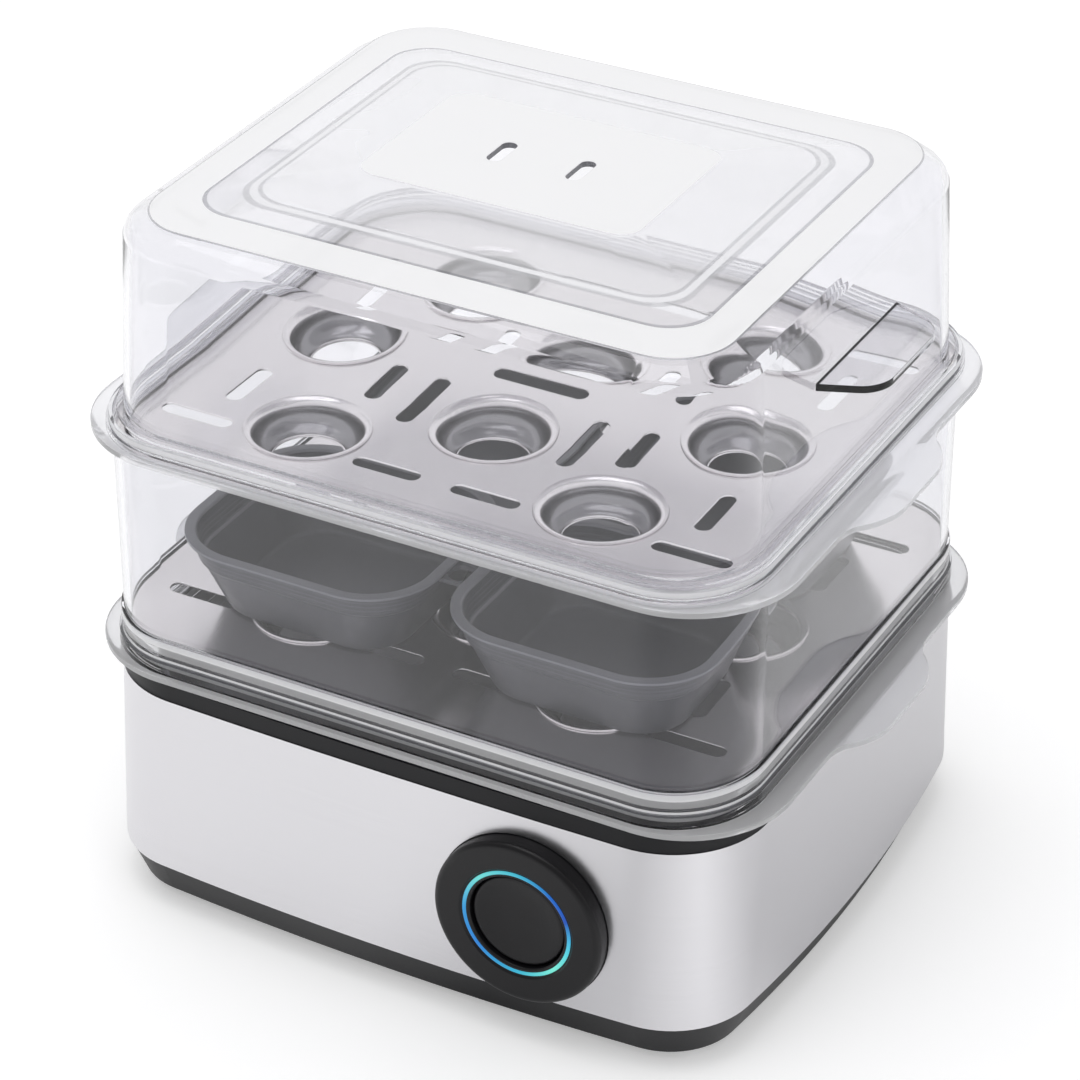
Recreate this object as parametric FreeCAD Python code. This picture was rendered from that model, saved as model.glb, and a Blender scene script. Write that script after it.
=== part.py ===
import FreeCAD, Part
import math
import os

# Two-tier egg boiler: a steel clad heating base, two clear trays that stack on it,
# two steel egg plates, a set of poaching cups and a clear lid.
# Origin: middle of the footprint on the floor. X runs along the front, Y to the back, Z up.

V = FreeCAD.Vector
os.makedirs("parts", exist_ok=True)

# shared clearances
curved_gap = 0.3
slide_gap = 0.5
through_cut = 40.0

# feet and bottom tub
foot_radius = 8.0
foot_height = 3.6
foot_recess = 1.0
foot_x = 80.0
foot_y = 66.0
tub_height = 12.4
tub_taper = 5.0
tub_wall = 2.4
tub_lip_height = 4.0
tub_lip_wall = 2.0
tub_boss_rise = 6.0

# steel sleeve around the base
sleeve_foot_width = 224.5
sleeve_foot_depth = 197.5
sleeve_foot_corner = 29.0
sleeve_foot_bow_front = 3.0
sleeve_foot_bow_side = 4.4
sleeve_top_width = 225.0
sleeve_top_depth = 193.4
sleeve_top_corner = 33.0
sleeve_top_bow = 1.1
sleeve_height = 63.8
sleeve_wall = 0.8

# black collar on the sleeve
collar_height = 6.0
collar_skirt = 9.0
collar_skirt_wall = 2.0
collar_inset = 0.4
collar_rim_width = 9.0
collar_seat_width = 5.0
collar_seat_drop = 9.0
collar_seat_thickness = 2.4
post_radius = 4.6
post_hole_radius = 1.6
post_reach = 25.6
screw_head_radius = 3.2
screw_head_height = 2.2
screw_length = 13.0
screw_thread_gap = 0.15

# water pan, seal and heater
pan_wall = 1.0
pan_depth = 13.0
pan_draft = 3.0
pan_rim_width = 4.0
seal_thickness = 1.2
stud_radius = 2.0
stud_length = 9.6
stud_x = 46.0
heater_radius = 3.5
heater_length = 128.0
heater_width = 84.0
heater_bend = 26.0
heater_open = 20.0
heater_pin_radius = 1.5
heater_pin_length = 9.0
strap_width = 16.0
strap_thickness = 1.5
strap_end = 9.0
nut_radius = 4.0
nut_height = 1.6
thermostat_radius = 8.0
thermostat_x = 0.0
fuse_radius = 2.0
fuse_length = 14.0
fuse_x = 20.0

# round control at the right of the front
control_x = 47.6
control_z = 44.0
bezel_radius = 28.8
bezel_proud = 3.0
bezel_edge = 2.2
bezel_depth = 9.0
ring_radius = 18.9
ring_width = 1.5
ring_depth = 3.0
ring_recess = 0.3
button_radius = 16.0
button_gap = 0.4
button_recess = 2.0
button_dish = 1.2
button_thickness = 5.0
button_travel = 1.0
button_stem_radius = 3.0
button_keeper = 1.6
button_keeper_thickness = 1.2
bezel_floor = 2.0
board_width = 44.0
board_height = 44.0
board_thickness = 1.6
board_post_radius = 2.6
board_post_offset = 18.0
board_post_length = 7.0
board_screw_radius = 1.1
board_screw_head = 2.2
board_screw_cap = 1.4
board_screw_reach = 4.0
switch_side = 6.0
relay_width = 12.0
relay_height = 15.0
relay_depth = 10.0

# power inlet at the back
inlet_x = -52.0
inlet_z = 36.0
inlet_width = 27.0
inlet_height = 20.0
inlet_depth = 24.0
inlet_wall = 2.0
inlet_flange_margin = 4.0
inlet_flange_height = 26.0
inlet_flange_thickness = 2.4
inlet_corner = 3.0
inlet_screw_pitch = 40.0
inlet_screw_radius = 1.6
inlet_screw_head = 3.0
inlet_screw_cap = 1.6
inlet_screw_reach = 7.0
pin_width = 4.0
pin_height = 2.0
pin_length = 15.0
pin_pitch = 7.0
pin_rise = 3.5
terminal_width = 16.0
terminal_depth = 8.0
terminal_height = 9.0
terminal_drop = 16.0
lead_radius = 1.1
lead_drop = 6.0
lead_rise = 6.0
lead_spread = 4.0
lead_pitch = 8.0
lead_turn = 8.0

# clear trays
tray_wall = 2.2
flange_width = 238.0
flange_depth = 197.0
flange_corner = 36.0
flange_thickness = 3.6
flange_edge = 1.2
tray_lip = 6.4
tray_rim_width = 224.0
tray_rim_depth = 194.0
tray_rim_corner = 31.0
tray_step_height = 4.4
tray_step_inset = 1.8
lower_rim_height = 12.4
upper_rim_height = 4.6
ledge_reach = 9.0
ledge_thickness = 2.0
lower_ledge_drop = 1.8
upper_ledge_drop = 5.6
skirt_width = 220.6
skirt_depth = 190.6
skirt_corner = 29.5
skirt_height = 61.6
skirt_lip = 3.0
tab_root = 62.0
tab_tip = 42.0
tab_reach = 10.0
tab_round = 8.0

# egg plates
sheet = 0.8
plate_margin = 0.8
cup_radius = 17.6
cup_depth = 9.0
cup_roll = 2.4
cup_belly = 1.6
cup_hole_radius = 12.0
corner_cup_x = 50.5
corner_cup_y = 55.5
middle_cup_y = 29.5
side_cup_x = 71.0
slot_width = 4.4
slot_list = (
    (0.0, 0.0, 32.0, 0.0),
    (28.0, 24.0, 27.0, 90.0),
    (44.0, 19.5, 20.0, 90.0),
    (81.0, 40.5, 21.5, 90.0),
    (85.0, 65.0, 24.6, 0.0),
    (17.0, 65.0, 22.0, 0.0),
)

# poaching cups
pot_width = 88.0
pot_depth = 79.0
pot_corner = 24.0
pot_pitch_x = 95.6
pot_pitch_y = 84.0
pot_height = 27.0
pot_foot_width = 66.0
pot_foot_depth = 58.0
pot_foot_corner = 18.0
pot_step_drop = 9.0
pot_step_inset = 1.6
pot_wall = 1.2
pot_lip = 2.4
pot_web_width = 26.0
pot_web_thickness = 1.6
pot_web_hole = 4.5

# lid
lid_foot_width = 215.0
lid_foot_depth = 185.0
lid_foot_corner = 29.0
lid_shoulder_width = 210.0
lid_shoulder_depth = 179.6
lid_shoulder_corner = 28.5
lid_wall_height = 60.4
lid_insert = 3.6
lid_bead = 2.0
lid_bead_height = 2.0
lid_wall = 2.0
ridge_width = 192.4
ridge_depth = 165.4
ridge_corner = 20.0
ridge_rise = 6.8
frame_width = 169.0
frame_depth = 135.0
frame_corner = 14.0
plateau_width = 92.0
plateau_depth = 62.0
plateau_corner = 12.0
plateau_rise = 6.0
vent_length = 14.0
vent_width = 5.0
vent_pitch = 27.0
lid_tab_rise = 36.5
lid_tab_root = 57.0
lid_tab_tip = 42.0
lid_tab_reach = 18.0
lid_tab_thickness = 2.4

# places and heights worked out from the sizes above
post_x = sleeve_top_width / 2.0 - sleeve_top_corner + post_reach * math.sqrt(0.5)
post_y = sleeve_top_depth / 2.0 - sleeve_top_corner + post_reach * math.sqrt(0.5)
tub_foot_z = foot_height
sleeve_foot_z = tub_foot_z + tub_height
sleeve_top_z = sleeve_foot_z + sleeve_height
collar_top_z = sleeve_top_z + collar_height
lower_flange_top_z = collar_top_z + flange_thickness
lower_rim_z = lower_flange_top_z + lower_rim_height
lower_ledge_z = lower_rim_z - lower_ledge_drop
upper_flange_z = lower_rim_z + skirt_height
upper_flange_top_z = upper_flange_z + flange_thickness
upper_rim_z = upper_flange_top_z + upper_rim_height
upper_ledge_z = upper_rim_z - upper_ledge_drop
lid_foot_z = upper_rim_z - lid_insert
shoulder_z = lid_foot_z + lid_insert + lid_wall_height
ridge_z = shoulder_z + ridge_rise
plateau_z = ridge_z + plateau_rise


def outline(width, depth, corner, z, bow_front=0.0, bow_side=0.0):
    """Closed outline of a rounded rectangle whose sides may bow outward."""
    half_x = width / 2.0
    half_y = depth / 2.0
    run_x = half_x - corner
    run_y = half_y - corner
    corners = ((1, -1), (1, 1), (-1, 1), (-1, -1))

    def touch(sign_x, sign_y, along_front):
        centre = V(sign_x * run_x, sign_y * run_y, z)
        bow = bow_front if along_front else bow_side
        run = run_x if along_front else run_y
        if bow <= 0.0:
            if along_front:
                return centre + V(0, sign_y * corner, 0)
            return centre + V(sign_x * corner, 0, 0)
        arm = (run * run + bow * bow) / (2.0 * bow)
        if along_front:
            way = V(sign_x * run_x, sign_y * (arm - bow), 0)
        else:
            way = V(sign_x * (arm - bow), sign_y * run_y, 0)
        return centre + way.normalize() * corner

    def middle(sign_x, sign_y):
        centre = V(sign_x * run_x, sign_y * run_y, z)
        first = touch(sign_x, sign_y, True) - centre
        second = touch(sign_x, sign_y, False) - centre
        return centre + (first + second).normalize() * corner

    edges = []
    for index in range(4):
        sx, sy = corners[index]
        from_front = index % 2 == 0
        start = touch(sx, sy, from_front)
        end = touch(sx, sy, not from_front)
        edges.append(Part.Arc(start, middle(sx, sy), end).toShape())
        nx, ny = corners[(index + 1) % 4]
        following = touch(nx, ny, not from_front)
        on_side = not from_front
        bow = bow_front if on_side else bow_side
        if bow <= 0.0:
            edges.append(Part.makeLine(end, following))
        elif on_side:
            top = V(0, sy * (half_y + bow), z)
            edges.append(Part.Arc(end, top, following).toShape())
        else:
            top = V(sx * (half_x + bow), 0, z)
            edges.append(Part.Arc(end, top, following).toShape())
    return Part.Wire(edges)


def block(width, depth, corner, z, height):
    """Straight rounded block standing on height z."""
    face = Part.Face(outline(width, depth, corner, z))
    return face.extrude(V(0, 0, height))


def ring(width, depth, corner, wall, z, height):
    """Straight rounded ring with an even wall."""
    outer = block(width, depth, corner, z, height)
    inner = block(width - 2 * wall, depth - 2 * wall, corner - wall, z - 1, height + 2)
    return outer.cut(inner)


def loft(sections):
    return Part.makeLoft(sections, True, True)


def cylinder(radius, length, place, way):
    return Part.makeCylinder(radius, length, place, way)


def sleeve_outline(z, inset):
    """Outline of the sleeve's outside at a height, moved inward by inset."""
    share = (z - sleeve_foot_z) / sleeve_height

    def between(low, high):
        return low + (high - low) * share

    return outline(
        between(sleeve_foot_width, sleeve_top_width) - 2 * inset,
        between(sleeve_foot_depth, sleeve_top_depth) - 2 * inset,
        between(sleeve_foot_corner, sleeve_top_corner) - inset,
        z,
        between(sleeve_foot_bow_front, sleeve_top_bow),
        between(sleeve_foot_bow_side, sleeve_top_bow),
    )


def four(shape_at, x, y):
    """One copy at each of four mirrored places."""
    return [shape_at(sx * x, sy * y) for sx in (-1, 1) for sy in (-1, 1)]


def save(name, shapes):
    shape = shapes if isinstance(shapes, Part.Shape) else Part.makeCompound(shapes)
    for number, solid in enumerate(shape.Solids):
        if not solid.isValid():
            print("not valid:", name, number)
    print(name, len(shape.Solids), "solids", round(shape.Volume, 1), "mm3")
    shape.exportStep("parts/" + name + ".step")


# rubber feet
def foot(x, y):
    pad = cylinder(foot_radius, foot_height + foot_recess, V(x, y, 0), V(0, 0, 1))
    low_edge = [e for e in pad.Edges if e.BoundBox.ZMax < 0.01]
    return pad.makeFillet(1.2, low_edge)


save("rubber_feet", four(foot, foot_x, foot_y))

# bottom tub
tub_top_inset = curved_gap
tub = loft([
    sleeve_outline(sleeve_foot_z, tub_top_inset + tub_taper).translated(V(0, 0, -tub_height)),
    sleeve_outline(sleeve_foot_z, tub_top_inset),
])
tub_hollow_inset = tub_top_inset + tub_taper + tub_wall
tub_hollow = loft([
    sleeve_outline(sleeve_foot_z, tub_hollow_inset).translated(V(0, 0, tub_wall - tub_height)),
    sleeve_outline(sleeve_foot_z, sleeve_wall + slide_gap + tub_lip_wall),
])
tub_lip = loft([
    sleeve_outline(sleeve_foot_z, sleeve_wall + slide_gap),
    sleeve_outline(sleeve_foot_z + tub_lip_height, sleeve_wall + slide_gap),
])
tub_lip_hollow = loft([
    sleeve_outline(sleeve_foot_z, sleeve_wall + slide_gap + tub_lip_wall),
    sleeve_outline(sleeve_foot_z + tub_lip_height, sleeve_wall + slide_gap + tub_lip_wall),
])
tub = tub.cut(tub_hollow)
tub = tub.fuse(tub_lip.cut(tub_lip_hollow))
tub_floor_z = tub_foot_z + tub_wall
post_foot_z = tub_floor_z + tub_boss_rise
for boss in four(lambda x, y: cylinder(post_radius, post_foot_z - tub_foot_z,
                                       V(x, y, tub_foot_z), V(0, 0, 1)),
                 post_x, post_y):
    tub = tub.fuse(boss)
for bore in four(lambda x, y: cylinder(post_hole_radius + curved_gap, 2 * tub_height,
                                       V(x, y, tub_foot_z - 1), V(0, 0, 1)), post_x, post_y):
    tub = tub.cut(bore)
for pocket in four(lambda x, y: cylinder(screw_head_radius + curved_gap, screw_head_height + curved_gap,
                                         V(x, y, tub_foot_z), V(0, 0, 1)), post_x, post_y):
    tub = tub.cut(pocket)
for pocket in four(lambda x, y: cylinder(foot_radius + curved_gap, foot_recess,
                                         V(x, y, tub_foot_z), V(0, 0, 1)), foot_x, foot_y):
    tub = tub.cut(pocket)
vent_count = 7
for index in range(vent_count):
    slot_x = (index - (vent_count - 1) / 2.0) * 9.0
    tub = tub.cut(Part.makeBox(3.0, 40.0, 6.0, V(slot_x - 1.5, -20.0, tub_foot_z - 1)))
control_room = cylinder(bezel_radius + slide_gap, 2 * bezel_depth,
                        V(control_x, -sleeve_foot_depth / 2.0 - bezel_depth, control_z), V(0, 1, 0))
tub = tub.cut(control_room)
save("base_tub", tub.removeSplitter())


# screws that hold the tub to the collar
def base_screw(x, y):
    seat_z = tub_foot_z + screw_head_height
    head = cylinder(screw_head_radius, screw_head_height, V(x, y, tub_foot_z), V(0, 0, 1))
    shank = cylinder(post_hole_radius - screw_thread_gap, screw_length, V(x, y, seat_z), V(0, 0, 1))
    slot = Part.makeBox(4.4, 0.9, 1.0, V(x - 2.2, y - 0.45, tub_foot_z))
    cross = Part.makeBox(0.9, 4.4, 1.0, V(x - 0.45, y - 2.2, tub_foot_z))
    return head.fuse(shank).cut(slot).cut(cross).translated(V(0, 0, curved_gap))


save("base_screws", four(base_screw, post_x, post_y))

# steel sleeve, with the opening for the control and the inlet
sleeve = loft([sleeve_outline(sleeve_foot_z, 0.0), sleeve_outline(sleeve_top_z, 0.0)])
sleeve = sleeve.cut(loft([
    sleeve_outline(sleeve_foot_z, sleeve_wall),
    sleeve_outline(sleeve_top_z, sleeve_wall),
]))
front_y = -(sleeve_foot_depth / 2.0 + sleeve_foot_bow_front)
back_y = sleeve_foot_depth / 2.0 + sleeve_foot_bow_front
sleeve = sleeve.cut(cylinder(bezel_radius + curved_gap, 20.0, V(control_x, front_y - 5, control_z),
                             V(0, 1, 0)))
inlet_cut = Part.makeBox(inlet_width + 2 * curved_gap, 20.0, inlet_height + 2 * curved_gap,
                         V(inlet_x - inlet_width / 2.0 - curved_gap, back_y - 12,
                           inlet_z - inlet_height / 2.0 - curved_gap))
sleeve = sleeve.cut(inlet_cut)
for side in (-1, 1):
    sleeve = sleeve.cut(cylinder(inlet_screw_radius + curved_gap, 20.0,
                                 V(inlet_x + side * inlet_screw_pitch / 2.0, back_y - 12, inlet_z),
                                 V(0, 1, 0)))
save("steel_sleeve", sleeve)

# black collar with the pan seat and four posts
collar_width = sleeve_top_width - 2 * collar_inset
collar_depth = sleeve_top_depth - 2 * collar_inset
collar_corner = sleeve_top_corner - collar_inset
collar_hole_width = collar_width - 2 * collar_rim_width
collar_hole_depth = collar_depth - 2 * collar_rim_width
collar_hole_corner = collar_corner - collar_rim_width
collar = loft([
    sleeve_outline(sleeve_top_z, collar_inset),
    sleeve_outline(sleeve_top_z, collar_inset).translated(V(0, 0, collar_height)),
])
skirt_inset = sleeve_wall + slide_gap
collar_skirt_solid = loft([
    sleeve_outline(sleeve_top_z - collar_skirt, skirt_inset),
    sleeve_outline(sleeve_top_z, skirt_inset),
])
collar_skirt_hollow = loft([
    sleeve_outline(sleeve_top_z - collar_skirt, skirt_inset + collar_skirt_wall),
    sleeve_outline(sleeve_top_z, skirt_inset + collar_skirt_wall),
])
collar_hole = block(collar_hole_width, collar_hole_depth, collar_hole_corner,
                    collar_top_z - through_cut, 2 * through_cut)
seat_z = collar_top_z - collar_seat_drop
seat_foot_z = seat_z - collar_seat_thickness
collar = collar.cut(collar_hole)
collar = collar.fuse(collar_skirt_solid.cut(collar_skirt_hollow))
collar = collar.fuse(block(collar_hole_width + 2 * collar_seat_thickness,
                           collar_hole_depth + 2 * collar_seat_thickness,
                           collar_hole_corner + collar_seat_thickness,
                           seat_foot_z, sleeve_top_z - seat_foot_z + 1).cut(collar_hole))
seat = ring(collar_hole_width + 2, collar_hole_depth + 2, collar_hole_corner + 1,
            collar_seat_width + 1, seat_foot_z, collar_seat_thickness)
collar = collar.fuse(seat)
for post in four(lambda x, y: cylinder(post_radius, seat_foot_z - post_foot_z + 0.5,
                                       V(x, y, post_foot_z), V(0, 0, 1)), post_x, post_y):
    collar = collar.fuse(post)
for bore in four(lambda x, y: cylinder(post_hole_radius, screw_length, V(x, y, post_foot_z - 1),
                                       V(0, 0, 1)), post_x, post_y):
    collar = collar.cut(bore)
collar = collar.cut(control_room)
save("top_collar", collar.removeSplitter())

# seal between the seat and the pan
pan_top_width = collar_hole_width - 2 * slide_gap
pan_top_depth = collar_hole_depth - 2 * slide_gap
pan_top_corner = collar_hole_corner - slide_gap
seal = ring(pan_top_width, pan_top_depth, pan_top_corner, pan_rim_width, seat_z, seal_thickness)
save("pan_seal", seal)

# water pan with two studs for the strap
pan_rim_z = seat_z + seal_thickness
pan_mouth_width = collar_hole_width - 2 * collar_seat_width - 2 * slide_gap
pan_mouth_depth = collar_hole_depth - 2 * collar_seat_width - 2 * slide_gap
pan_mouth_corner = collar_hole_corner - collar_seat_width - slide_gap
pan_floor_z = pan_rim_z - pan_depth


def pan_section(z, inset):
    drop = (pan_rim_z - z) / pan_depth * pan_draft
    return outline(pan_mouth_width - 2 * (inset + drop), pan_mouth_depth - 2 * (inset + drop),
                   pan_mouth_corner - inset, z)


pan = loft([pan_section(pan_floor_z, 0.0), pan_section(pan_rim_z + pan_wall, 0.0)])
pan = pan.fuse(block(pan_top_width, pan_top_depth, pan_top_corner, pan_rim_z, pan_wall))
pan = pan.cut(loft([pan_section(pan_floor_z + pan_wall, pan_wall),
                    pan_section(pan_rim_z + 2 * pan_wall, pan_wall)]))
for side in (-1, 1):
    pan = pan.fuse(cylinder(stud_radius, stud_length + 0.2,
                            V(side * stud_x, 0, pan_floor_z - stud_length), V(0, 0, 1)))
save("water_pan", pan.removeSplitter())

# heating element under the pan, an open loop with two pins
heater_z = pan_floor_z - curved_gap - heater_radius
half_l = heater_length / 2.0
half_w = heater_width / 2.0


def heater_path():
    corner = heater_bend
    points = []
    start = V(-heater_open / 2.0, -half_w, heater_z)
    end = V(heater_open / 2.0, -half_w, heater_z)
    turn = corner * (1 - math.sqrt(0.5))
    edges = []
    stops = [
        (V(-half_l + corner, -half_w, heater_z), V(-half_l + turn, -half_w + turn, heater_z),
         V(-half_l, -half_w + corner, heater_z)),
        (V(-half_l, half_w - corner, heater_z), V(-half_l + turn, half_w - turn, heater_z),
         V(-half_l + corner, half_w, heater_z)),
        (V(half_l - corner, half_w, heater_z), V(half_l - turn, half_w - turn, heater_z),
         V(half_l, half_w - corner, heater_z)),
        (V(half_l, -half_w + corner, heater_z), V(half_l - turn, -half_w + turn, heater_z),
         V(half_l - corner, -half_w, heater_z)),
    ]
    last = start
    for first, mid, then in stops:
        edges.append(Part.makeLine(last, first))
        edges.append(Part.Arc(first, mid, then).toShape())
        last = then
    edges.append(Part.makeLine(last, end))
    return Part.Wire(edges), start, end


path, heater_start, heater_end = heater_path()
profile = Part.Wire([Part.makeCircle(heater_radius, heater_start, V(-1, 0, 0))])
heater = path.makePipeShell([profile], True, False)
for end, way in ((heater_start, 1), (heater_end, -1)):
    pin = cylinder(heater_pin_radius, heater_pin_length, end - V(way * 2.0, 0, 0), V(way, 0, 0))
    heater = heater.fuse(pin)
save("heating_element", heater)

# strap that presses the element to the pan
strap_top_z = heater_z - heater_radius - curved_gap
strap_length = heater_length + 2 * strap_end
strap = Part.makeBox(strap_length, strap_width, strap_thickness,
                     V(-strap_length / 2.0, -strap_width / 2.0, strap_top_z - strap_thickness))
for side in (-1, 1):
    strap = strap.cut(cylinder(stud_radius + curved_gap, 3 * strap_thickness,
                               V(side * stud_x, 0, strap_top_z - 2 * strap_thickness), V(0, 0, 1)))
save("element_strap", strap)

# nuts on the two studs
nuts = []
for side in (-1, 1):
    hexagon = Part.makePolygon([
        V(side * stud_x + nut_radius * math.cos(math.radians(60 * k)),
          nut_radius * math.sin(math.radians(60 * k)), strap_top_z - strap_thickness - nut_height)
        for k in range(7)])
    nut = Part.Face(hexagon).extrude(V(0, 0, nut_height))
    bore = cylinder(stud_radius + screw_thread_gap, 3 * nut_height,
                    V(side * stud_x, 0, strap_top_z - strap_thickness - 2 * nut_height),
                    V(0, 0, 1))
    nuts.append(nut.cut(bore))
save("strap_nuts", nuts)

# thermostat and thermal fuse between the strap and the pan
thermostat = cylinder(thermostat_radius, pan_floor_z - strap_top_z,
                      V(thermostat_x, 0, strap_top_z), V(0, 0, 1))
for side in (-1, 1):
    blade = Part.makeBox(0.8, 9.0, 5.0, V(thermostat_x + side * 4.0 - 0.4,
                                          thermostat_radius - 2.0, strap_top_z + 1.5))
    thermostat = thermostat.fuse(blade)
save("thermostat", thermostat)
fuse = cylinder(fuse_radius, fuse_length,
                V(fuse_x, -fuse_length / 2.0, strap_top_z + curved_gap + fuse_radius), V(0, 1, 0))
fuse = fuse.fuse(cylinder(0.6, fuse_length + 12.0,
                          V(fuse_x, -fuse_length / 2.0 - 6.0, strap_top_z + curved_gap + fuse_radius),
                          V(0, 1, 0)))
save("thermal_fuse", fuse)

# round control: bezel, light ring, push button, board
face_y = front_y + (sleeve_foot_depth - sleeve_top_depth) / 2.0 * (
    (control_z - sleeve_foot_z) / sleeve_height)
bezel_front = face_y - bezel_proud
bezel_back = bezel_front + bezel_depth + bezel_proud
along_y = V(0, 1, 0)


def control_point(y, dx=0.0, dz=0.0):
    return V(control_x + dx, y, control_z + dz)


bezel = cylinder(bezel_radius, bezel_back - bezel_front, control_point(bezel_front), along_y)
front_edge = [e for e in bezel.Edges if e.BoundBox.YMax < bezel_front + 0.01]
bezel = bezel.makeFillet(bezel_edge, front_edge)
bezel = bezel.cut(cylinder(ring_radius + curved_gap, ring_depth + ring_recess + 0.5,
                           control_point(bezel_front - 0.5), along_y))
well_radius = button_radius + button_gap
bezel = bezel.cut(cylinder(well_radius, bezel_back - bezel_front - bezel_floor,
                           control_point(bezel_front), along_y))
bezel = bezel.cut(cylinder(button_stem_radius + button_gap, 30.0, control_point(bezel_front), along_y))
board_y = bezel_back + board_post_length
for dx in (-1, 1):
    for dz in (-1, 1):
        post = cylinder(board_post_radius, board_post_length,
                        control_point(bezel_back, dx * board_post_offset, dz * board_post_offset),
                        along_y)
        bore = cylinder(board_screw_radius, board_post_length,
                        control_point(bezel_back + 1, dx * board_post_offset, dz * board_post_offset),
                        along_y)
        bezel = bezel.fuse(post).cut(bore)
save("control_bezel", bezel.removeSplitter())

ring_front = bezel_front + ring_recess
lamp = cylinder(ring_radius, ring_depth, control_point(ring_front), along_y)
lamp = lamp.cut(cylinder(ring_radius - ring_width, ring_depth + 2, control_point(ring_front - 1),
                         along_y))
save("light_ring", lamp)

button_front = bezel_front + button_recess
button = cylinder(button_radius, button_thickness, control_point(button_front), along_y)
button_edge = [e for e in button.Edges if e.BoundBox.YMax < button_front + 0.01]
button = button.makeFillet(0.8, button_edge)
dish_radius = (button_radius * button_radius + button_dish * button_dish) / (2 * button_dish)
button = button.cut(Part.makeSphere(dish_radius, control_point(button_front - dish_radius
                                                               + button_dish)))
stem_end = bezel_back + button_travel + slide_gap + button_keeper_thickness
stem = cylinder(button_stem_radius, stem_end - button_front - button_thickness + 0.5,
                control_point(button_front + button_thickness - 0.5), along_y)
keeper_y = bezel_back + curved_gap
keeper = cylinder(button_stem_radius + button_keeper, button_keeper_thickness,
                  control_point(keeper_y), along_y)
button = button.fuse(stem.fuse(keeper))
save("start_button", button.removeSplitter())

board = Part.makeBox(board_width, board_thickness, board_height,
                     V(control_x - board_width / 2.0, board_y, control_z - board_height / 2.0))
for dx in (-1, 1):
    for dz in (-1, 1):
        board = board.cut(cylinder(board_screw_radius + curved_gap, 6.0,
                                   control_point(board_y - 2, dx * board_post_offset,
                                                 dz * board_post_offset), along_y))
relay = Part.makeBox(relay_width, relay_depth, relay_height,
                     V(control_x - 15.0, board_y + board_thickness, control_z - 9.0))
terminal = Part.makeBox(terminal_width, terminal_depth, terminal_height,
                        V(control_x + 1.0, board_y + board_thickness, control_z - terminal_drop))
board = board.fuse(relay).fuse(terminal)
save("control_board", board)

switch_y = stem_end + button_travel + curved_gap
switch = Part.makeBox(switch_side, board_y - switch_y, switch_side,
                      V(control_x - switch_side / 2.0, switch_y, control_z - switch_side / 2.0))
save("push_switch", switch)

board_screws = []
for dx in (-1, 1):
    for dz in (-1, 1):
        place = control_point(board_y + board_thickness, dx * board_post_offset,
                              dz * board_post_offset)
        cap = cylinder(board_screw_head, board_screw_cap, place, along_y)
        shank = cylinder(board_screw_radius - screw_thread_gap, board_thickness + board_screw_reach,
                         place - V(0, board_thickness + board_screw_reach, 0), along_y)
        board_screws.append(cap.fuse(shank))
save("board_screws", board_screws)

# power inlet at the back, left bare of its cord
inlet_flange_width = inlet_screw_pitch + 2 * inlet_flange_margin
back_face_y = back_y - (sleeve_foot_depth - sleeve_top_depth) / 2.0 * (
    (inlet_z - sleeve_foot_z) / sleeve_height)
flange_y = back_face_y + curved_gap


def rounded_bar(width, height, corner, y, depth):
    bar = block(width, height, corner, 0, depth)
    bar.rotate(V(0, 0, 0), V(1, 0, 0), -90)
    bar.translate(V(inlet_x, y, inlet_z))
    return bar


inlet = rounded_bar(inlet_width, inlet_height, inlet_corner, flange_y - inlet_depth, inlet_depth)
inlet = inlet.fuse(rounded_bar(inlet_flange_width, inlet_flange_height, inlet_corner, flange_y,
                               inlet_flange_thickness))
inlet = inlet.cut(rounded_bar(inlet_width - 2 * inlet_wall, inlet_height - 2 * inlet_wall,
                              inlet_corner - inlet_wall * 0.5,
                              flange_y - inlet_depth + inlet_wall, inlet_depth + 10))
for side in (-1, 1):
    inlet = inlet.cut(cylinder(inlet_screw_radius + curved_gap, 20.0,
                               V(inlet_x + side * inlet_screw_pitch / 2.0, flange_y - 5, inlet_z),
                               along_y))
pin_foot_y = flange_y - inlet_depth - lead_drop
pins = []
for dx, dz in ((-1, -1), (0, 1), (1, -1)):
    pin = Part.makeBox(pin_width if dx == 0 else pin_height, pin_length + inlet_wall + lead_drop,
                       pin_height if dx == 0 else pin_width,
                       V(inlet_x + dx * pin_pitch - (pin_width if dx == 0 else pin_height) / 2.0,
                         pin_foot_y,
                         inlet_z + dz * pin_rise - (pin_height if dx == 0 else pin_width) / 2.0))
    pins.append(pin)
    inlet = inlet.cut(pin)
save("power_inlet", inlet)
save("inlet_pins", pins)

inlet_screws = []
for side in (-1, 1):
    place = V(inlet_x + side * inlet_screw_pitch / 2.0, flange_y + inlet_flange_thickness, inlet_z)
    cap = cylinder(inlet_screw_head, inlet_screw_cap, place, along_y)
    shank = cylinder(inlet_screw_radius - screw_thread_gap, inlet_screw_reach,
                     place - V(0, inlet_screw_reach, 0), along_y)
    cap = cap.cut(Part.makeBox(4.0, 1.0, 0.8, place + V(-2.0, inlet_screw_cap - 0.8, -0.4)))
    inlet_screws.append(cap.fuse(shank))
save("inlet_screws", inlet_screws)


# leads from the inlet to the board and to the element
def lead(points):
    pieces = []
    for first, then in zip(points[:-1], points[1:]):
        way = then - first
        pieces.append(cylinder(lead_radius, way.Length, first, way))
    for joint in points[1:-1]:
        pieces.append(Part.makeSphere(lead_radius, joint))
    shape = pieces[0]
    for piece in pieces[1:]:
        shape = shape.fuse(piece)
    return shape


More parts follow.
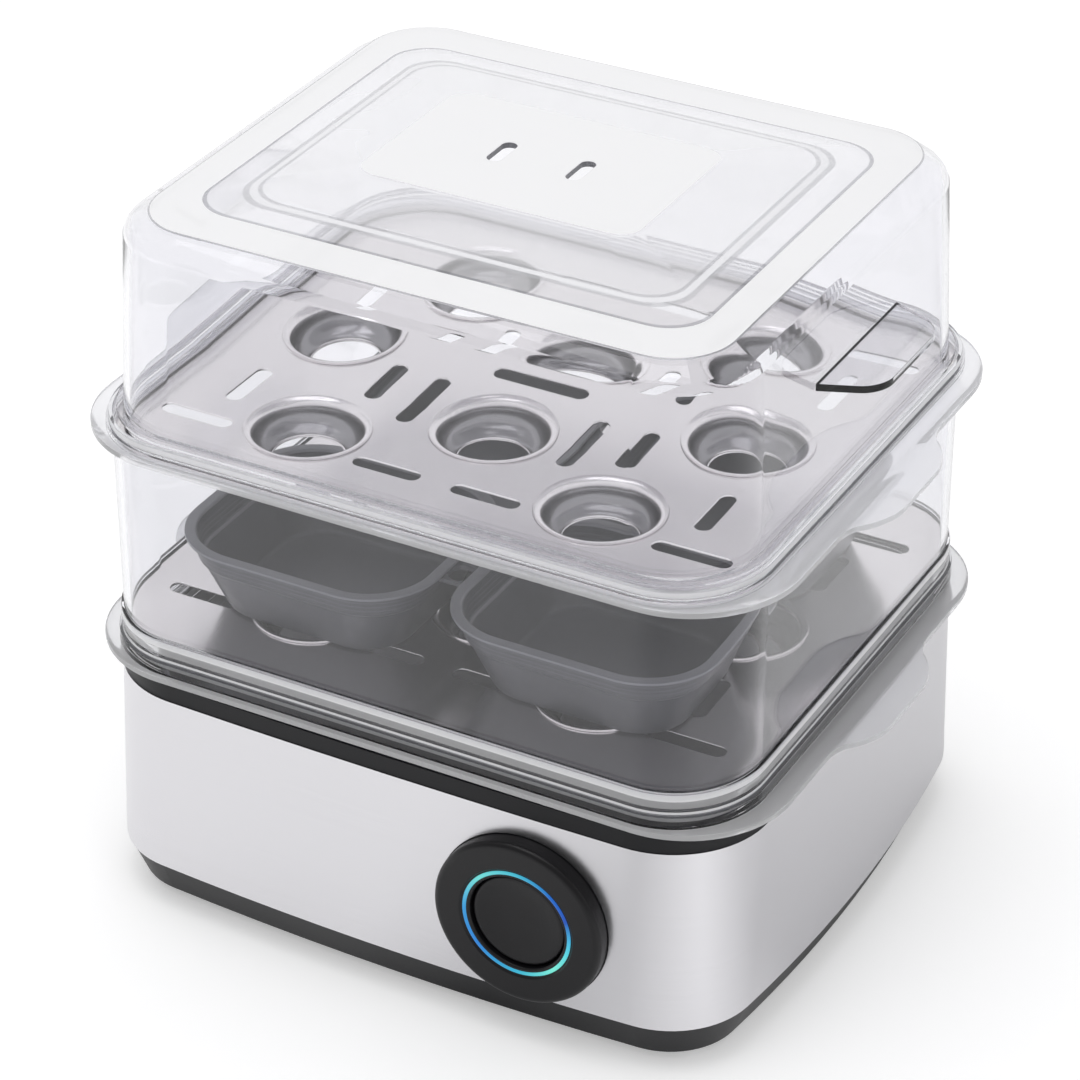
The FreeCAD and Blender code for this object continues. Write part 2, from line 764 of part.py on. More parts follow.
lead_z = tub_floor_z + lead_rise
terminal_back = board_y + board_thickness + terminal_depth
terminal_mid_x = control_x + 1.0 + terminal_width / 2.0
leads = []
for number, dx in enumerate((-1, 1)):
    start = V(inlet_x + dx * pin_pitch, pin_foot_y - curved_gap, inlet_z - pin_rise)
    run_y = pin_foot_y - lead_rise - lead_spread * number
    end = V(terminal_mid_x + dx * lead_pitch / 2.0, terminal_back + curved_gap,
            control_z - terminal_drop + terminal_height / 2.0)
    leads.append(lead([
        start,
        V(start.x, run_y, start.z),
        V(start.x, run_y, lead_z + lead_spread * number),
        V(end.x, run_y, lead_z + lead_spread * number),
        V(end.x, end.y + lead_turn, lead_z + lead_spread * number),
        V(end.x, end.y + lead_turn, end.z),
        end,
    ]))
save("internal_leads", leads)


# clear trays
def side_tab(root, tip, reach, root_x, z, thickness, side):
    """Flat handle tab with a rounded outer edge, on the left or the right."""
    inside = 6.0
    points = [
        V(side * (root_x - inside), -root / 2.0, z),
        V(side * root_x, -root / 2.0, z),
        V(side * (root_x + reach), -tip / 2.0, z),
        V(side * (root_x + reach), tip / 2.0, z),
        V(side * root_x, root / 2.0, z),
        V(side * (root_x - inside), root / 2.0, z),
    ]
    tab = Part.Face(Part.makePolygon(points + [points[0]])).extrude(V(0, 0, thickness))
    outer = [e for e in tab.Edges
             if abs(e.BoundBox.XLength) < 0.01 and abs(e.BoundBox.YLength) < 0.01
             and abs(e.BoundBox.Center.x) > root_x + reach - 0.5]
    return tab.makeFillet(tab_round, outer)


def flange_plate(z):
    plate = block(flange_width, flange_depth, flange_corner, z, flange_thickness)
    for side in (-1, 1):
        plate = plate.fuse(side_tab(tab_root, tab_tip, tab_reach, flange_width / 2.0, z,
                                    flange_thickness, side))
    return plate.removeSplitter()


mouth_width = tray_rim_width - 2 * tray_wall
mouth_depth = tray_rim_depth - 2 * tray_wall
mouth_corner = tray_rim_corner - tray_wall


def tray_rim(flange_top, rim_top, ledge_top):
    """Stepped rim above a flange, with a ledge for the egg plate inside."""
    step = block(tray_rim_width, tray_rim_depth, tray_rim_corner, flange_top,
                 rim_top - flange_top)
    step_cut_z = flange_top + min(tray_step_height, (rim_top - flange_top) * 0.5)
    step = step.cut(ring(tray_rim_width + 4, tray_rim_depth + 4, tray_rim_corner + 2,
                         2 + tray_step_inset * 0.5, step_cut_z, rim_top))
    return step


# lower tray
lip_width = collar_hole_width - 2 * slide_gap
lip_depth = collar_hole_depth - 2 * slide_gap
lip_corner = collar_hole_corner - slide_gap
lower_tray = flange_plate(collar_top_z)
lower_tray = lower_tray.fuse(tray_rim(lower_flange_top_z, lower_rim_z, lower_ledge_z))
lower_tray = lower_tray.fuse(block(lip_width, lip_depth, lip_corner, collar_top_z - tray_lip,
                                   tray_lip))
lower_tray = lower_tray.cut(block(mouth_width, mouth_depth, mouth_corner, lower_ledge_z, 40))
well = block(mouth_width - 2 * ledge_reach, mouth_depth - 2 * ledge_reach,
             mouth_corner - ledge_reach, collar_top_z - through_cut, 2 * through_cut)
lower_tray = lower_tray.cut(well)
pocket_top = lower_ledge_z - ledge_thickness
save("lower_tray", lower_tray.removeSplitter())

# upper tray with the long skirt that stands on the lower tray
upper_tray = flange_plate(upper_flange_z)
upper_tray = upper_tray.fuse(tray_rim(upper_flange_top_z, upper_rim_z, upper_ledge_z))
upper_tray = upper_tray.fuse(block(skirt_width, skirt_depth, skirt_corner, lower_rim_z,
                                   skirt_height))
upper_tray = upper_tray.fuse(block(mouth_width - 2 * slide_gap, mouth_depth - 2 * slide_gap,
                                   mouth_corner - slide_gap,
                                   lower_ledge_z + sheet + slide_gap,
                                   lower_rim_z - lower_ledge_z - sheet - slide_gap + 1))
upper_tray = upper_tray.cut(block(mouth_width, mouth_depth, mouth_corner, upper_ledge_z, 40))
upper_tray = upper_tray.cut(block(mouth_width - 2 * ledge_reach, mouth_depth - 2 * ledge_reach,
                                  mouth_corner - ledge_reach, upper_ledge_z - 10, 40))
hall_width = skirt_width - 2 * tray_wall
hall_depth = skirt_depth - 2 * tray_wall
hall_corner = skirt_corner - tray_wall
hall_top_z = upper_ledge_z - ledge_thickness
upper_tray = upper_tray.cut(block(hall_width, hall_depth, hall_corner, lower_rim_z - 20,
                                  hall_top_z - lower_rim_z + 20))
save("upper_tray", upper_tray.removeSplitter())


# egg plates
def cup_shell(x, y, top_z):
    """Pressed egg cup: rolled edge, round side and a ring hole at the bottom."""
    mouth = cup_radius + cup_roll
    slant = math.sqrt(0.5)
    shell_roll = cup_roll - sheet
    edge_top = V(mouth, 0, 0)
    edge_low = V(mouth, 0, -sheet)
    neck = V(cup_radius, 0, -cup_roll)
    neck_back = V(cup_radius + sheet, 0, -cup_roll)
    belly = V(cup_radius - cup_belly, 0, -cup_depth * 0.75)
    belly_back = belly + V(sheet * slant, 0, -sheet * slant)
    lip = V(cup_hole_radius, 0, -cup_depth)
    lip_back = lip - V(0, 0, sheet)
    roll = Part.Arc(edge_top, V(mouth - cup_roll * slant, 0, cup_roll * slant - cup_roll), neck)
    side = Part.Arc(neck, belly, lip)
    side_back = Part.Arc(lip_back, belly_back, neck_back)
    roll_back = Part.Arc(neck_back, V(mouth - shell_roll * slant, 0, shell_roll * slant - cup_roll),
                         edge_low)
    wire = Part.Wire([roll.toShape(), side.toShape(), Part.makeLine(lip, lip_back),
                      side_back.toShape(), roll_back.toShape(), Part.makeLine(edge_low, edge_top)])
    cup = Part.Face(wire).revolve(V(0, 0, 0), V(0, 0, 1), 360)
    return cup.translated(V(x, y, top_z))


def cup_places():
    places = [(sx * corner_cup_x, sy * corner_cup_y) for sx in (-1, 1) for sy in (-1, 1)]
    places += [(0, -middle_cup_y), (0, middle_cup_y), (-side_cup_x, 0), (side_cup_x, 0)]
    return places


def slot_cut(x, y, length, turn, z):
    run = length - slot_width
    bar = Part.makeBox(run, slot_width, 4.0, V(-run / 2.0, -slot_width / 2.0, z - 2.0))
    for side in (-1, 1):
        bar = bar.fuse(cylinder(slot_width / 2.0, 4.0, V(side * run / 2.0, 0, z - 2.0), V(0, 0, 1)))
    bar.rotate(V(0, 0, 0), V(0, 0, 1), turn)
    return bar.translated(V(x, y, 0))


plate_width = mouth_width - 2 * plate_margin
plate_depth = mouth_depth - 2 * plate_margin
plate_corner = mouth_corner - plate_margin


def egg_plate(ledge_z):
    top_z = ledge_z + sheet
    plate = block(plate_width, plate_depth, plate_corner, ledge_z, sheet)
    for x, y in cup_places():
        plate = plate.cut(cylinder(cup_radius + cup_roll, 4.0, V(x, y, top_z - 2.0), V(0, 0, 1)))
    for x, y, length, turn in slot_list:
        for sx in ((1, -1) if x else (1,)):
            for sy in ((1, -1) if y else (1,)):
                plate = plate.cut(slot_cut(sx * x, sy * y, length, turn, top_z))
    for x, y in cup_places():
        plate = plate.fuse(cup_shell(x, y, top_z))
    return plate


save("lower_egg_plate", egg_plate(lower_ledge_z))
save("upper_egg_plate", egg_plate(upper_ledge_z))

# poaching cups, four in one piece, standing on the lower plate
pot_foot_z = lower_ledge_z + sheet
pot_rim_z = pot_foot_z + pot_height


def pot_loft(wall, low, high):
    step_z = pot_rim_z - pot_step_drop
    wide = pot_width - 2 * pot_lip - 2 * wall
    deep = pot_depth - 2 * pot_lip - 2 * wall
    upper = [outline(wide - 2 * pot_step_inset, deep - 2 * pot_step_inset,
                     pot_corner - pot_lip - wall - pot_step_inset, step_z),
             outline(wide, deep, pot_corner - pot_lip - wall, high)]
    lower = [outline(pot_foot_width - 2 * wall, pot_foot_depth - 2 * wall, pot_foot_corner - wall,
                     low),
             outline(wide - 2 * pot_step_inset - 1.6, deep - 2 * pot_step_inset - 1.6,
                     pot_corner - pot_lip - wall - pot_step_inset - 0.8, step_z)]
    return loft(lower).fuse(loft(upper))


pot_outer = pot_loft(0.0, pot_foot_z, pot_rim_z).fuse(
    block(pot_width, pot_depth, pot_corner, pot_rim_z - pot_wall, pot_wall))
pot_inner = pot_loft(pot_wall, pot_foot_z + pot_wall, pot_rim_z + 0.2)
half_x = pot_pitch_x / 2.0
half_y = pot_pitch_y / 2.0
web_z = pot_rim_z - 2 * pot_web_thickness
web = Part.makeBox(pot_pitch_x - pot_width + 14.0, pot_pitch_y + pot_web_width, pot_web_thickness,
                   V(-(pot_pitch_x - pot_width + 14.0) / 2.0, -(pot_pitch_y + pot_web_width) / 2.0,
                     web_z))
web = web.fuse(Part.makeBox(pot_pitch_x + pot_web_width, pot_pitch_y - pot_depth + 14.0,
                            pot_web_thickness,
                            V(-(pot_pitch_x + pot_web_width) / 2.0,
                              -(pot_pitch_y - pot_depth + 14.0) / 2.0, web_z)))
pots = web
for sx in (-1, 1):
    for sy in (-1, 1):
        pots = pots.fuse(pot_outer.translated(V(sx * half_x, sy * half_y, 0)))
for sx in (-1, 1):
    for sy in (-1, 1):
        pots = pots.cut(pot_inner.translated(V(sx * half_x, sy * half_y, 0)))
for x, y in ((0, -half_y - pot_web_width * 0.3), (0, half_y + pot_web_width * 0.3), (0, 0)):
    pots = pots.cut(cylinder(pot_web_hole if x or y else pot_web_hole * 1.4, 20.0,
                             V(x, y, web_z - 10), V(0, 0, 1)))
save("poaching_cups", pots.removeSplitter())


# lid
def lid_sections(inset, drop):
    return [
        outline(lid_foot_width - 2 * inset, lid_foot_depth - 2 * inset, lid_foot_corner - inset,
                lid_foot_z - (1.0 if drop else 0.0)),
        outline(lid_shoulder_width - 2 * inset, lid_shoulder_depth - 2 * inset,
                lid_shoulder_corner - inset, shoulder_z - drop * 0.4),
        outline(ridge_width - 2 * inset, ridge_depth - 2 * inset, ridge_corner - inset,
                ridge_z - drop),
    ]


def raised_middle(drop):
    return loft([
        outline(frame_width, frame_depth, frame_corner, ridge_z - drop),
        outline(plateau_width, plateau_depth, plateau_corner, plateau_z - drop),
    ])


lid = loft(lid_sections(0.0, 0.0))
lid = lid.fuse(raised_middle(0.0))
lid = lid.fuse(block(lid_foot_width + 2 * lid_bead, lid_foot_depth + 2 * lid_bead,
                     lid_foot_corner + lid_bead, upper_rim_z, lid_bead_height))
for side in (-1, 1):
    tab_x = lid_shoulder_width / 2.0 + 1.0
    lid = lid.fuse(side_tab(lid_tab_root, lid_tab_tip, lid_tab_reach, tab_x,
                            upper_rim_z + lid_tab_rise, lid_tab_thickness, side))
lid = lid.cut(loft(lid_sections(lid_wall, lid_wall)).fuse(raised_middle(lid_wall)))
for side in (-1, 1):
    run = vent_length - vent_width
    vent = Part.makeBox(vent_width, run, 20.0, V(side * vent_pitch / 2.0 - vent_width / 2.0,
                                                 -run / 2.0, plateau_z - 10))
    for end in (-1, 1):
        vent = vent.fuse(cylinder(vent_width / 2.0, 20.0,
                                  V(side * vent_pitch / 2.0, end * run / 2.0, plateau_z - 10),
                                  V(0, 0, 1)))
    lid = lid.cut(vent)
save("lid", lid.removeSplitter())
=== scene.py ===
import math

import bmesh
import bpy
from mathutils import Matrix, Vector


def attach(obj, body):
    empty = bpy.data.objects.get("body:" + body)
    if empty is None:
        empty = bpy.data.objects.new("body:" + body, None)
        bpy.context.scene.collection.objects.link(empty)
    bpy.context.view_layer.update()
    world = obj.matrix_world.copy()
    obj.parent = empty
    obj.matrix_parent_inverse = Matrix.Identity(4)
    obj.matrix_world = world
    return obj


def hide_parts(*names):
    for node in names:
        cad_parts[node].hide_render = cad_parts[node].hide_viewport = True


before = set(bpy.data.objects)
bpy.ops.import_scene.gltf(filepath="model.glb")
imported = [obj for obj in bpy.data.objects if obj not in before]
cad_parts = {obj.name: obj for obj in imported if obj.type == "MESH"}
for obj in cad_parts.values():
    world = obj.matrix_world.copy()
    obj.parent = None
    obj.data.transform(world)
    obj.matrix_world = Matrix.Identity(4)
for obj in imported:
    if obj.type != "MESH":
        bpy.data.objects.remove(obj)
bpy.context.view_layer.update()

mm = 0.001
facing = (math.pi / 2, 0, 0)   # turns an upright rod or ring to face the front
slotEnd = 0.498                # share of a slot's width that rounds its ends without a fold


def tone(red, green, blue, alpha=1.0):
    # a colour as it is seen on a screen, 0 to 255, turned into light
    def line(value):
        value = value / 255.0
        return value / 12.92 if value <= 0.04045 else ((value + 0.055) / 1.055) ** 2.4
    return (line(red), line(green), line(blue), alpha)


# modelling helpers, in millimetres

def deselect():
    bpy.ops.object.select_all(action="DESELECT")


def choose(piece, *others):
    deselect()
    for item in (piece,) + others:
        item.select_set(True)
    bpy.context.view_layer.objects.active = piece


def settle(name):
    piece = bpy.context.object
    piece.name = name
    piece.data.name = name
    bpy.ops.object.transform_apply(location=True, rotation=True, scale=True)
    return piece


def addCube(name, size, place):
    deselect()
    bpy.ops.mesh.primitive_cube_add(size=1, location=[v * mm for v in place])
    bpy.context.object.scale = [v * mm for v in size]
    return settle(name)


def addRod(name, radius, length, place, sides, turn=(0, 0, 0)):
    deselect()
    bpy.ops.mesh.primitive_cylinder_add(vertices=sides, radius=radius * mm, depth=length * mm,
                                        location=[v * mm for v in place], rotation=turn)
    return settle(name)


def edit(piece):
    choose(piece)
    bpy.ops.object.mode_set(mode="EDIT")


def leave():
    bpy.ops.object.mode_set(mode="OBJECT")


def pick(piece, kind, test):
    # selects the faces or edges of the piece in edit mode that pass a test
    bpy.ops.mesh.select_mode(type=kind)
    bpy.ops.mesh.select_all(action="DESELECT")
    mesh = bmesh.from_edit_mesh(piece.data)
    mesh.normal_update()
    found = [item for item in (mesh.faces if kind == "FACE" else mesh.edges) if test(item)]
    for item in found:
        item.select_set(True)
    bmesh.update_edit_mesh(piece.data)
    return len(found)


def pickCap(piece, way):
    # the largest face whose normal runs along way
    way = Vector(way)
    bpy.ops.mesh.select_mode(type="FACE")
    bpy.ops.mesh.select_all(action="DESELECT")
    mesh = bmesh.from_edit_mesh(piece.data)
    mesh.normal_update()
    facing = [face for face in mesh.faces if face.normal.dot(way) > 0.999]
    cap = max(facing, key=lambda face: face.calc_area())
    cap.select_set(True)
    mesh.faces.active = cap
    bmesh.update_edit_mesh(piece.data)


def upright(edge):
    way = edge.verts[1].co - edge.verts[0].co
    return abs(way.x) < 1e-6 and abs(way.y) < 1e-6


def roundBlock(name, width, depth, corner, low, high, steps):
    # a block whose upright edges are rounded, left in edit mode
    piece = addCube(name, (width, depth, high - low), (0, 0, (low + high) / 2.0))
    edit(piece)
    pick(piece, "EDGE", upright)
    bpy.ops.mesh.bevel(offset=corner * mm, segments=steps, affect="EDGES", clamp_overlap=False)
    return piece


def nextOutline(now, then):
    # moves the selected cap from one rounded outline to the next: (width, depth, corner, z)
    width, depth, corner, z = now
    nextWidth, nextDepth, nextCorner, nextZ = then
    inset = max(0.0, corner - nextCorner)
    for _ in range(6):  # the inset and the growth depend on each other, so both are refined
        growX = nextWidth / (width - 2 * inset)
        growY = nextDepth / (depth - 2 * inset)
        inset = corner - 2 * nextCorner / (growX + growY)
    if inset > 0.05:
        bpy.ops.mesh.inset(thickness=inset * mm, depth=0, use_even_offset=True)
    else:
        growX = nextWidth / width
        growY = nextDepth / depth
        bpy.ops.mesh.extrude_region_move()
    bpy.ops.transform.translate(value=(0, 0, (nextZ - z) * mm))
    bpy.ops.transform.resize(value=(growX, growY, 1), center_override=(0, 0, nextZ * mm))


def follow(outlines):
    for now, then in zip(outlines[:-1], outlines[1:]):
        nextOutline(now, then)


def dropCap():
    bpy.ops.mesh.delete(type="ONLY_FACE")


def bridgeOpen(piece):
    pick(piece, "EDGE", lambda edge: edge.is_boundary)
    bpy.ops.mesh.bridge_edge_loops()


def applyAll(piece):
    choose(piece)
    for modifier in list(piece.modifiers):
        bpy.ops.object.modifier_apply(modifier=modifier.name)


def softEdges(piece, width, angle=30, segments=2):
    bevel = piece.modifiers.new("softEdges", "BEVEL")
    bevel.width = width * mm
    bevel.segments = segments
    bevel.limit_method = "ANGLE"
    bevel.angle_limit = math.radians(angle)
    bevel.miter_outer = "MITER_ARC"
    applyAll(piece)


def smooth(piece, angle):
    choose(piece)
    bpy.ops.object.shade_smooth_by_angle(angle=math.radians(angle))
    weight = piece.modifiers.new("flatFaces", "WEIGHTED_NORMAL")  # keeps the broad faces flat
    weight.keep_sharp = True
    weight.weight = 80
    applyAll(piece)


def carve(piece, cutters, operation="DIFFERENCE"):
    for cutter in cutters:
        tool = piece.modifiers.new("carve", "BOOLEAN")
        tool.operation = operation
        tool.solver = "EXACT"
        tool.object = cutter
        applyAll(piece)
    for cutter in cutters:
        bpy.data.objects.remove(cutter)


def copyOf(piece, name, shift):
    other = piece.copy()
    other.data = piece.data.copy()
    other.name = name
    other.data.name = name
    bpy.context.scene.collection.objects.link(other)
    choose(other)
    other.location = [v * mm for v in shift]
    bpy.ops.object.transform_apply(location=True, rotation=True, scale=True)
    return other


def join(name, pieces):
    choose(*pieces)
    bpy.ops.object.join()
    piece = bpy.context.object
    piece.name = name
    piece.data.name = name
    return piece


def mount(piece, body, slot, material, *nodes):
    piece.data.materials.clear()
    piece.data.materials.append(material)
    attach(piece, body)
    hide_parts(*nodes)
    return piece


# finishes

class Wire:
    # a socket of a shader tree that can take part in sums
    def __init__(self, tree, socket=None):
        self.tree = tree
        self.socket = socket

    def node(self, kind, settings=None, inputs=None, output=0):
        made = self.tree.nodes.new(kind)
        for key, value in (settings or {}).items():
            if key == "stops":
                ramp = made.color_ramp
                while len(ramp.elements) < len(value):
                    ramp.elements.new(0.5)
                for stop, (place, colour) in zip(ramp.elements, value):
                    stop.position = place
                    stop.color = colour
            else:
                setattr(made, key, value)
        for key, value in (inputs or {}).items():
            if isinstance(value, Wire):
                self.tree.links.new(value.socket, made.inputs[key])
            else:
                made.inputs[key].default_value = value
        return Wire(self.tree, made.outputs[output])

    def outlet(self, key):
        # another output of the node that this socket belongs to
        return Wire(self.tree, self.socket.node.outputs[key])

    def maths(self, operation, first, second=0.0):
        return self.node("ShaderNodeMath", {"operation": operation}, {0: first, 1: second})

    def __add__(self, other):
        return self.maths("ADD", self, other)

    def __radd__(self, other):
        return self.maths("ADD", other, self)

    def __sub__(self, other):
        return self.maths("SUBTRACT", self, other)

    def __rsub__(self, other):
        return self.maths("SUBTRACT", other, self)

    def __mul__(self, other):
        return self.maths("MULTIPLY", self, other)

    def __truediv__(self, other):
        return self.maths("DIVIDE", self, other)


def newFinish(name):
    material = bpy.data.materials.new(name)
    material.use_nodes = True
    tree = material.node_tree
    return material, Wire(tree), tree.nodes["Principled BSDF"]


def setShader(shader, values):
    for key, value in values.items():
        shader.inputs[key].default_value = value


def feed(wire, shader, inputs):
    for key, value in inputs.items():
        wire.tree.links.new(value.socket, shader.inputs[key])


def grainOf(wire, scale, detail=4.0, stretch=(1, 1, 1), roughness=0.55):
    coords = wire.node("ShaderNodeTexCoord", output="Object")
    placed = wire.node("ShaderNodeMapping", None, {"Vector": coords, "Scale": stretch})
    return wire.node("ShaderNodeTexNoise", None,
                     {"Vector": placed, "Scale": scale, "Detail": detail, "Roughness": roughness})


def blendOf(wire, share, low, high):
    # inputs 6 and 7 and output 2 are the colour sockets of the mix node
    return wire.node("ShaderNodeMix", {"data_type": "RGBA"}, {0: share, 6: low, 7: high}, 2)


def placeOf(wire):
    # X of the point that is shaded; Y and Z are other outlets of the same node
    coords = wire.node("ShaderNodeTexCoord", output="Object")
    return wire.node("ShaderNodeSeparateXYZ", None, {0: coords})


def between(wire, height, foot, top):
    # 1 from foot to top, in mm, and 0 outside
    return (wire.maths("GREATER_THAN", height, foot * mm)
            * wire.maths("LESS_THAN", height, top * mm))


def mouldedFinish(name, low, high, grain, roughness, spread=0.08, bump=0.06, values=None,
                  bands=()):
    # plastics, rubbers, coats: a fine grain under a slow change of tone
    # bands: heights in mm that take another colour, with how much of it shows
    material, wire, shader = newFinish(name)
    fine = grainOf(wire, grain, 3.0)
    slow = grainOf(wire, 22.0, 2.0)
    share = fine * 0.45 + slow * 0.55
    colour = blendOf(wire, share, low, high)
    for foot, top, other, part in bands:
        colour = blendOf(wire, between(wire, placeOf(wire).outlet("Z"), foot, top) * part, colour,
                         other)
    feed(wire, shader, {
        "Base Color": colour,
        "Roughness": (share - 0.5) * (2 * spread) + roughness,
        "Normal": wire.node("ShaderNodeBump", None,
                            {"Strength": bump, "Distance": 0.2 * mm, "Height": fine}),
    })
    setShader(shader, values or {})
    return material


def steelFinish(name, low, high, stretch, roughness, spread, bump=0.05, cups=None):
    # satin steel with brush lines along one way
    # cups: height in mm of a sheet with pressed cups, whose insides take painted shade over the
    # first fade mm and are bright again, without it, from hole mm down, where the ring round their
    # hole starts
    fade, hole = 2.2, 8.1
    material, wire, shader = newFinish(name)
    lines = grainOf(wire, 1.0, 3.0, stretch, 0.6)
    slow = grainOf(wire, 9.0, 2.0)
    share = lines * 0.6 + slow * 0.4
    colour = blendOf(wire, share, low, high)
    if cups:
        height = placeOf(wire).outlet("Z")
        deep = wire.node("ShaderNodeClamp", None, {0: (cups * mm - height) / (fade * mm)})
        cupShadeZone = wire.maths("GREATER_THAN", height, (cups - hole) * mm)
        # painted shade inside the cups: a dark grey mixed into the steel by height
        colour = blendOf(wire, deep * cupShadeZone * 0.8, colour, tone(112, 112, 116))
    feed(wire, shader, {
        "Base Color": colour,
        "Roughness": (share - 0.5) * (2 * spread) + roughness,
        "Normal": wire.node("ShaderNodeBump", None,
                            {"Strength": bump, "Distance": 0.1 * mm, "Height": lines}),
    })
    setShader(shader, {"Metallic": 1.0})
    return material


# outlines are width, depth and corner radius, and in lists the height too
lid = {
    "bead": (219.0, 189.0, 31.0), "beadLow": 171.6, "beadTop": 173.6,
    "neck": (214.6, 184.5, 29.0), "tabLow": (211.85, 181.8, 28.7), "tabHigh": (211.65, 181.6, 28.7),
    "crown": [(210.0, 179.6, 28.5, 231.0), (208.4, 178.0, 27.7, 232.9), (205.6, 175.8, 26.2, 234.4),
              (192.4, 165.4, 20.0, 238.5), (190.6, 163.6, 19.0, 238.8), (170.0, 136.0, 14.4, 238.8),
              (168.0, 134.0, 14.0, 239.0), (94.0, 64.0, 12.6, 244.6), (92.0, 62.0, 12.0, 244.8)],
    "hollow": [(214.8, 184.8, 29.0, 171.6), (215.0, 185.0, 29.0, 168.0),
               (211.0, 181.0, 27.0, 168.0), (206.2, 175.8, 26.6, 230.0),
               (204.6, 174.2, 25.8, 231.6), (202.0, 172.4, 24.4, 232.8),
               (188.6, 161.6, 18.0, 236.5), (187.0, 160.0, 17.2, 236.8),
               (170.0, 136.0, 14.4, 236.8), (168.0, 134.0, 14.0, 237.0),
               (94.0, 64.0, 12.6, 242.6), (92.0, 62.0, 12.0, 242.8)],
    "tabZ": 208.1, "tabThick": 2.4, "tabRoot": 57.0, "tabTip": 42.0, "tabReach": 18.0,
    "tabRound": 7.0, "ventX": 13.5, "ventWidth": 5.0, "ventLength": 14.0, "ventZ": 243.8,
    # room round a vent in which the lid takes painted shade: half width, half length, foot and top
    "ventShadeRoom": (2.75, 7.2, 236.0, 244.62),
}


def clearFinish(name, low, high, roughness, paintedGlare, edges=(), shadedVents=False):
    # clear moulded plastic; lamps and soft light pass it, so it doesn't black out what is inside
    # glare bands: heights in mm painted satin white as a painted reflection of bright light, with
    # how much of the white shows
    # edges: thin bands of painted shade, standing in for the dark lines that light bent by the
    # rounded edges of clear plastic draws
    material, wire, shader = newFinish(name)
    slow = grainOf(wire, 14.0, 2.0)
    feed(wire, shader, {
        "Base Color": blendOf(wire, slow, low, high),
        "Roughness": slow * 0.02 + roughness,
    })
    setShader(shader, {"Transmission Weight": 1.0, "IOR": 1.47})
    path = wire.node("ShaderNodeLightPath", output="Is Shadow Ray")
    soft = path.outlet("Is Diffuse Ray")
    through = wire.node("ShaderNodeBsdfTransparent", None, {"Color": (0.95, 0.95, 0.965, 1)})
    split = placeOf(wire)
    height = split.outlet("Z")
    cloud = 0.9 + slow * 0.2
    # painted reflection: satin white mixed over the clear plastic in the glare bands
    glareMask = 0.0
    for foot, top, share in paintedGlare:
        glareMask = glareMask + between(wire, height, foot, top) * share
    white = wire.node("ShaderNodeBsdfPrincipled", None, {
        "Base Color": (0.93, 0.93, 0.945, 1), "Roughness": 0.22, "IOR": 1.47})
    body = wire.node("ShaderNodeMixShader", None,
                     {0: wire.maths("MINIMUM", glareMask * cloud, 1.0),
                      1: Wire(wire.tree, shader.outputs[0]), 2: white})
    # painted shade along the thin edge bands
    for foot, top, share in edges:
        edgeShade = wire.node("ShaderNodeBsdfPrincipled", None, {
            "Base Color": tone(150, 151, 156), "Roughness": 0.3})
        body = wire.node("ShaderNodeMixShader", None,
                         {0: between(wire, height, foot, top) * share, 1: body, 2: edgeShade})
    if shadedVents:  # painted shade: the walls of the two steam vents are darkened
        across = wire.maths("ABSOLUTE", split) - lid["ventX"] * mm
        along = wire.maths("ABSOLUTE", split.outlet("Y"))
        halfWidth, halfLength, foot, top = lid["ventShadeRoom"]
        ventShadeMask = (wire.maths("LESS_THAN", wire.maths("ABSOLUTE", across), halfWidth * mm)
                * wire.maths("LESS_THAN", along, halfLength * mm)
                * between(wire, height, foot, top))
        ventShadeColour = wire.node("ShaderNodeBsdfPrincipled", None, {
            "Base Color": tone(104, 105, 110), "Roughness": 0.35})
        body = wire.node("ShaderNodeMixShader", None, {0: ventShadeMask * 0.9, 1: body, 2: ventShadeColour})
    mixed = wire.node("ShaderNodeMixShader", None,
                      {0: wire.maths("MAXIMUM", path, soft), 1: body, 2: through})
    wire.tree.links.new(mixed.socket, wire.tree.nodes["Material Output"].inputs["Surface"])
    return material


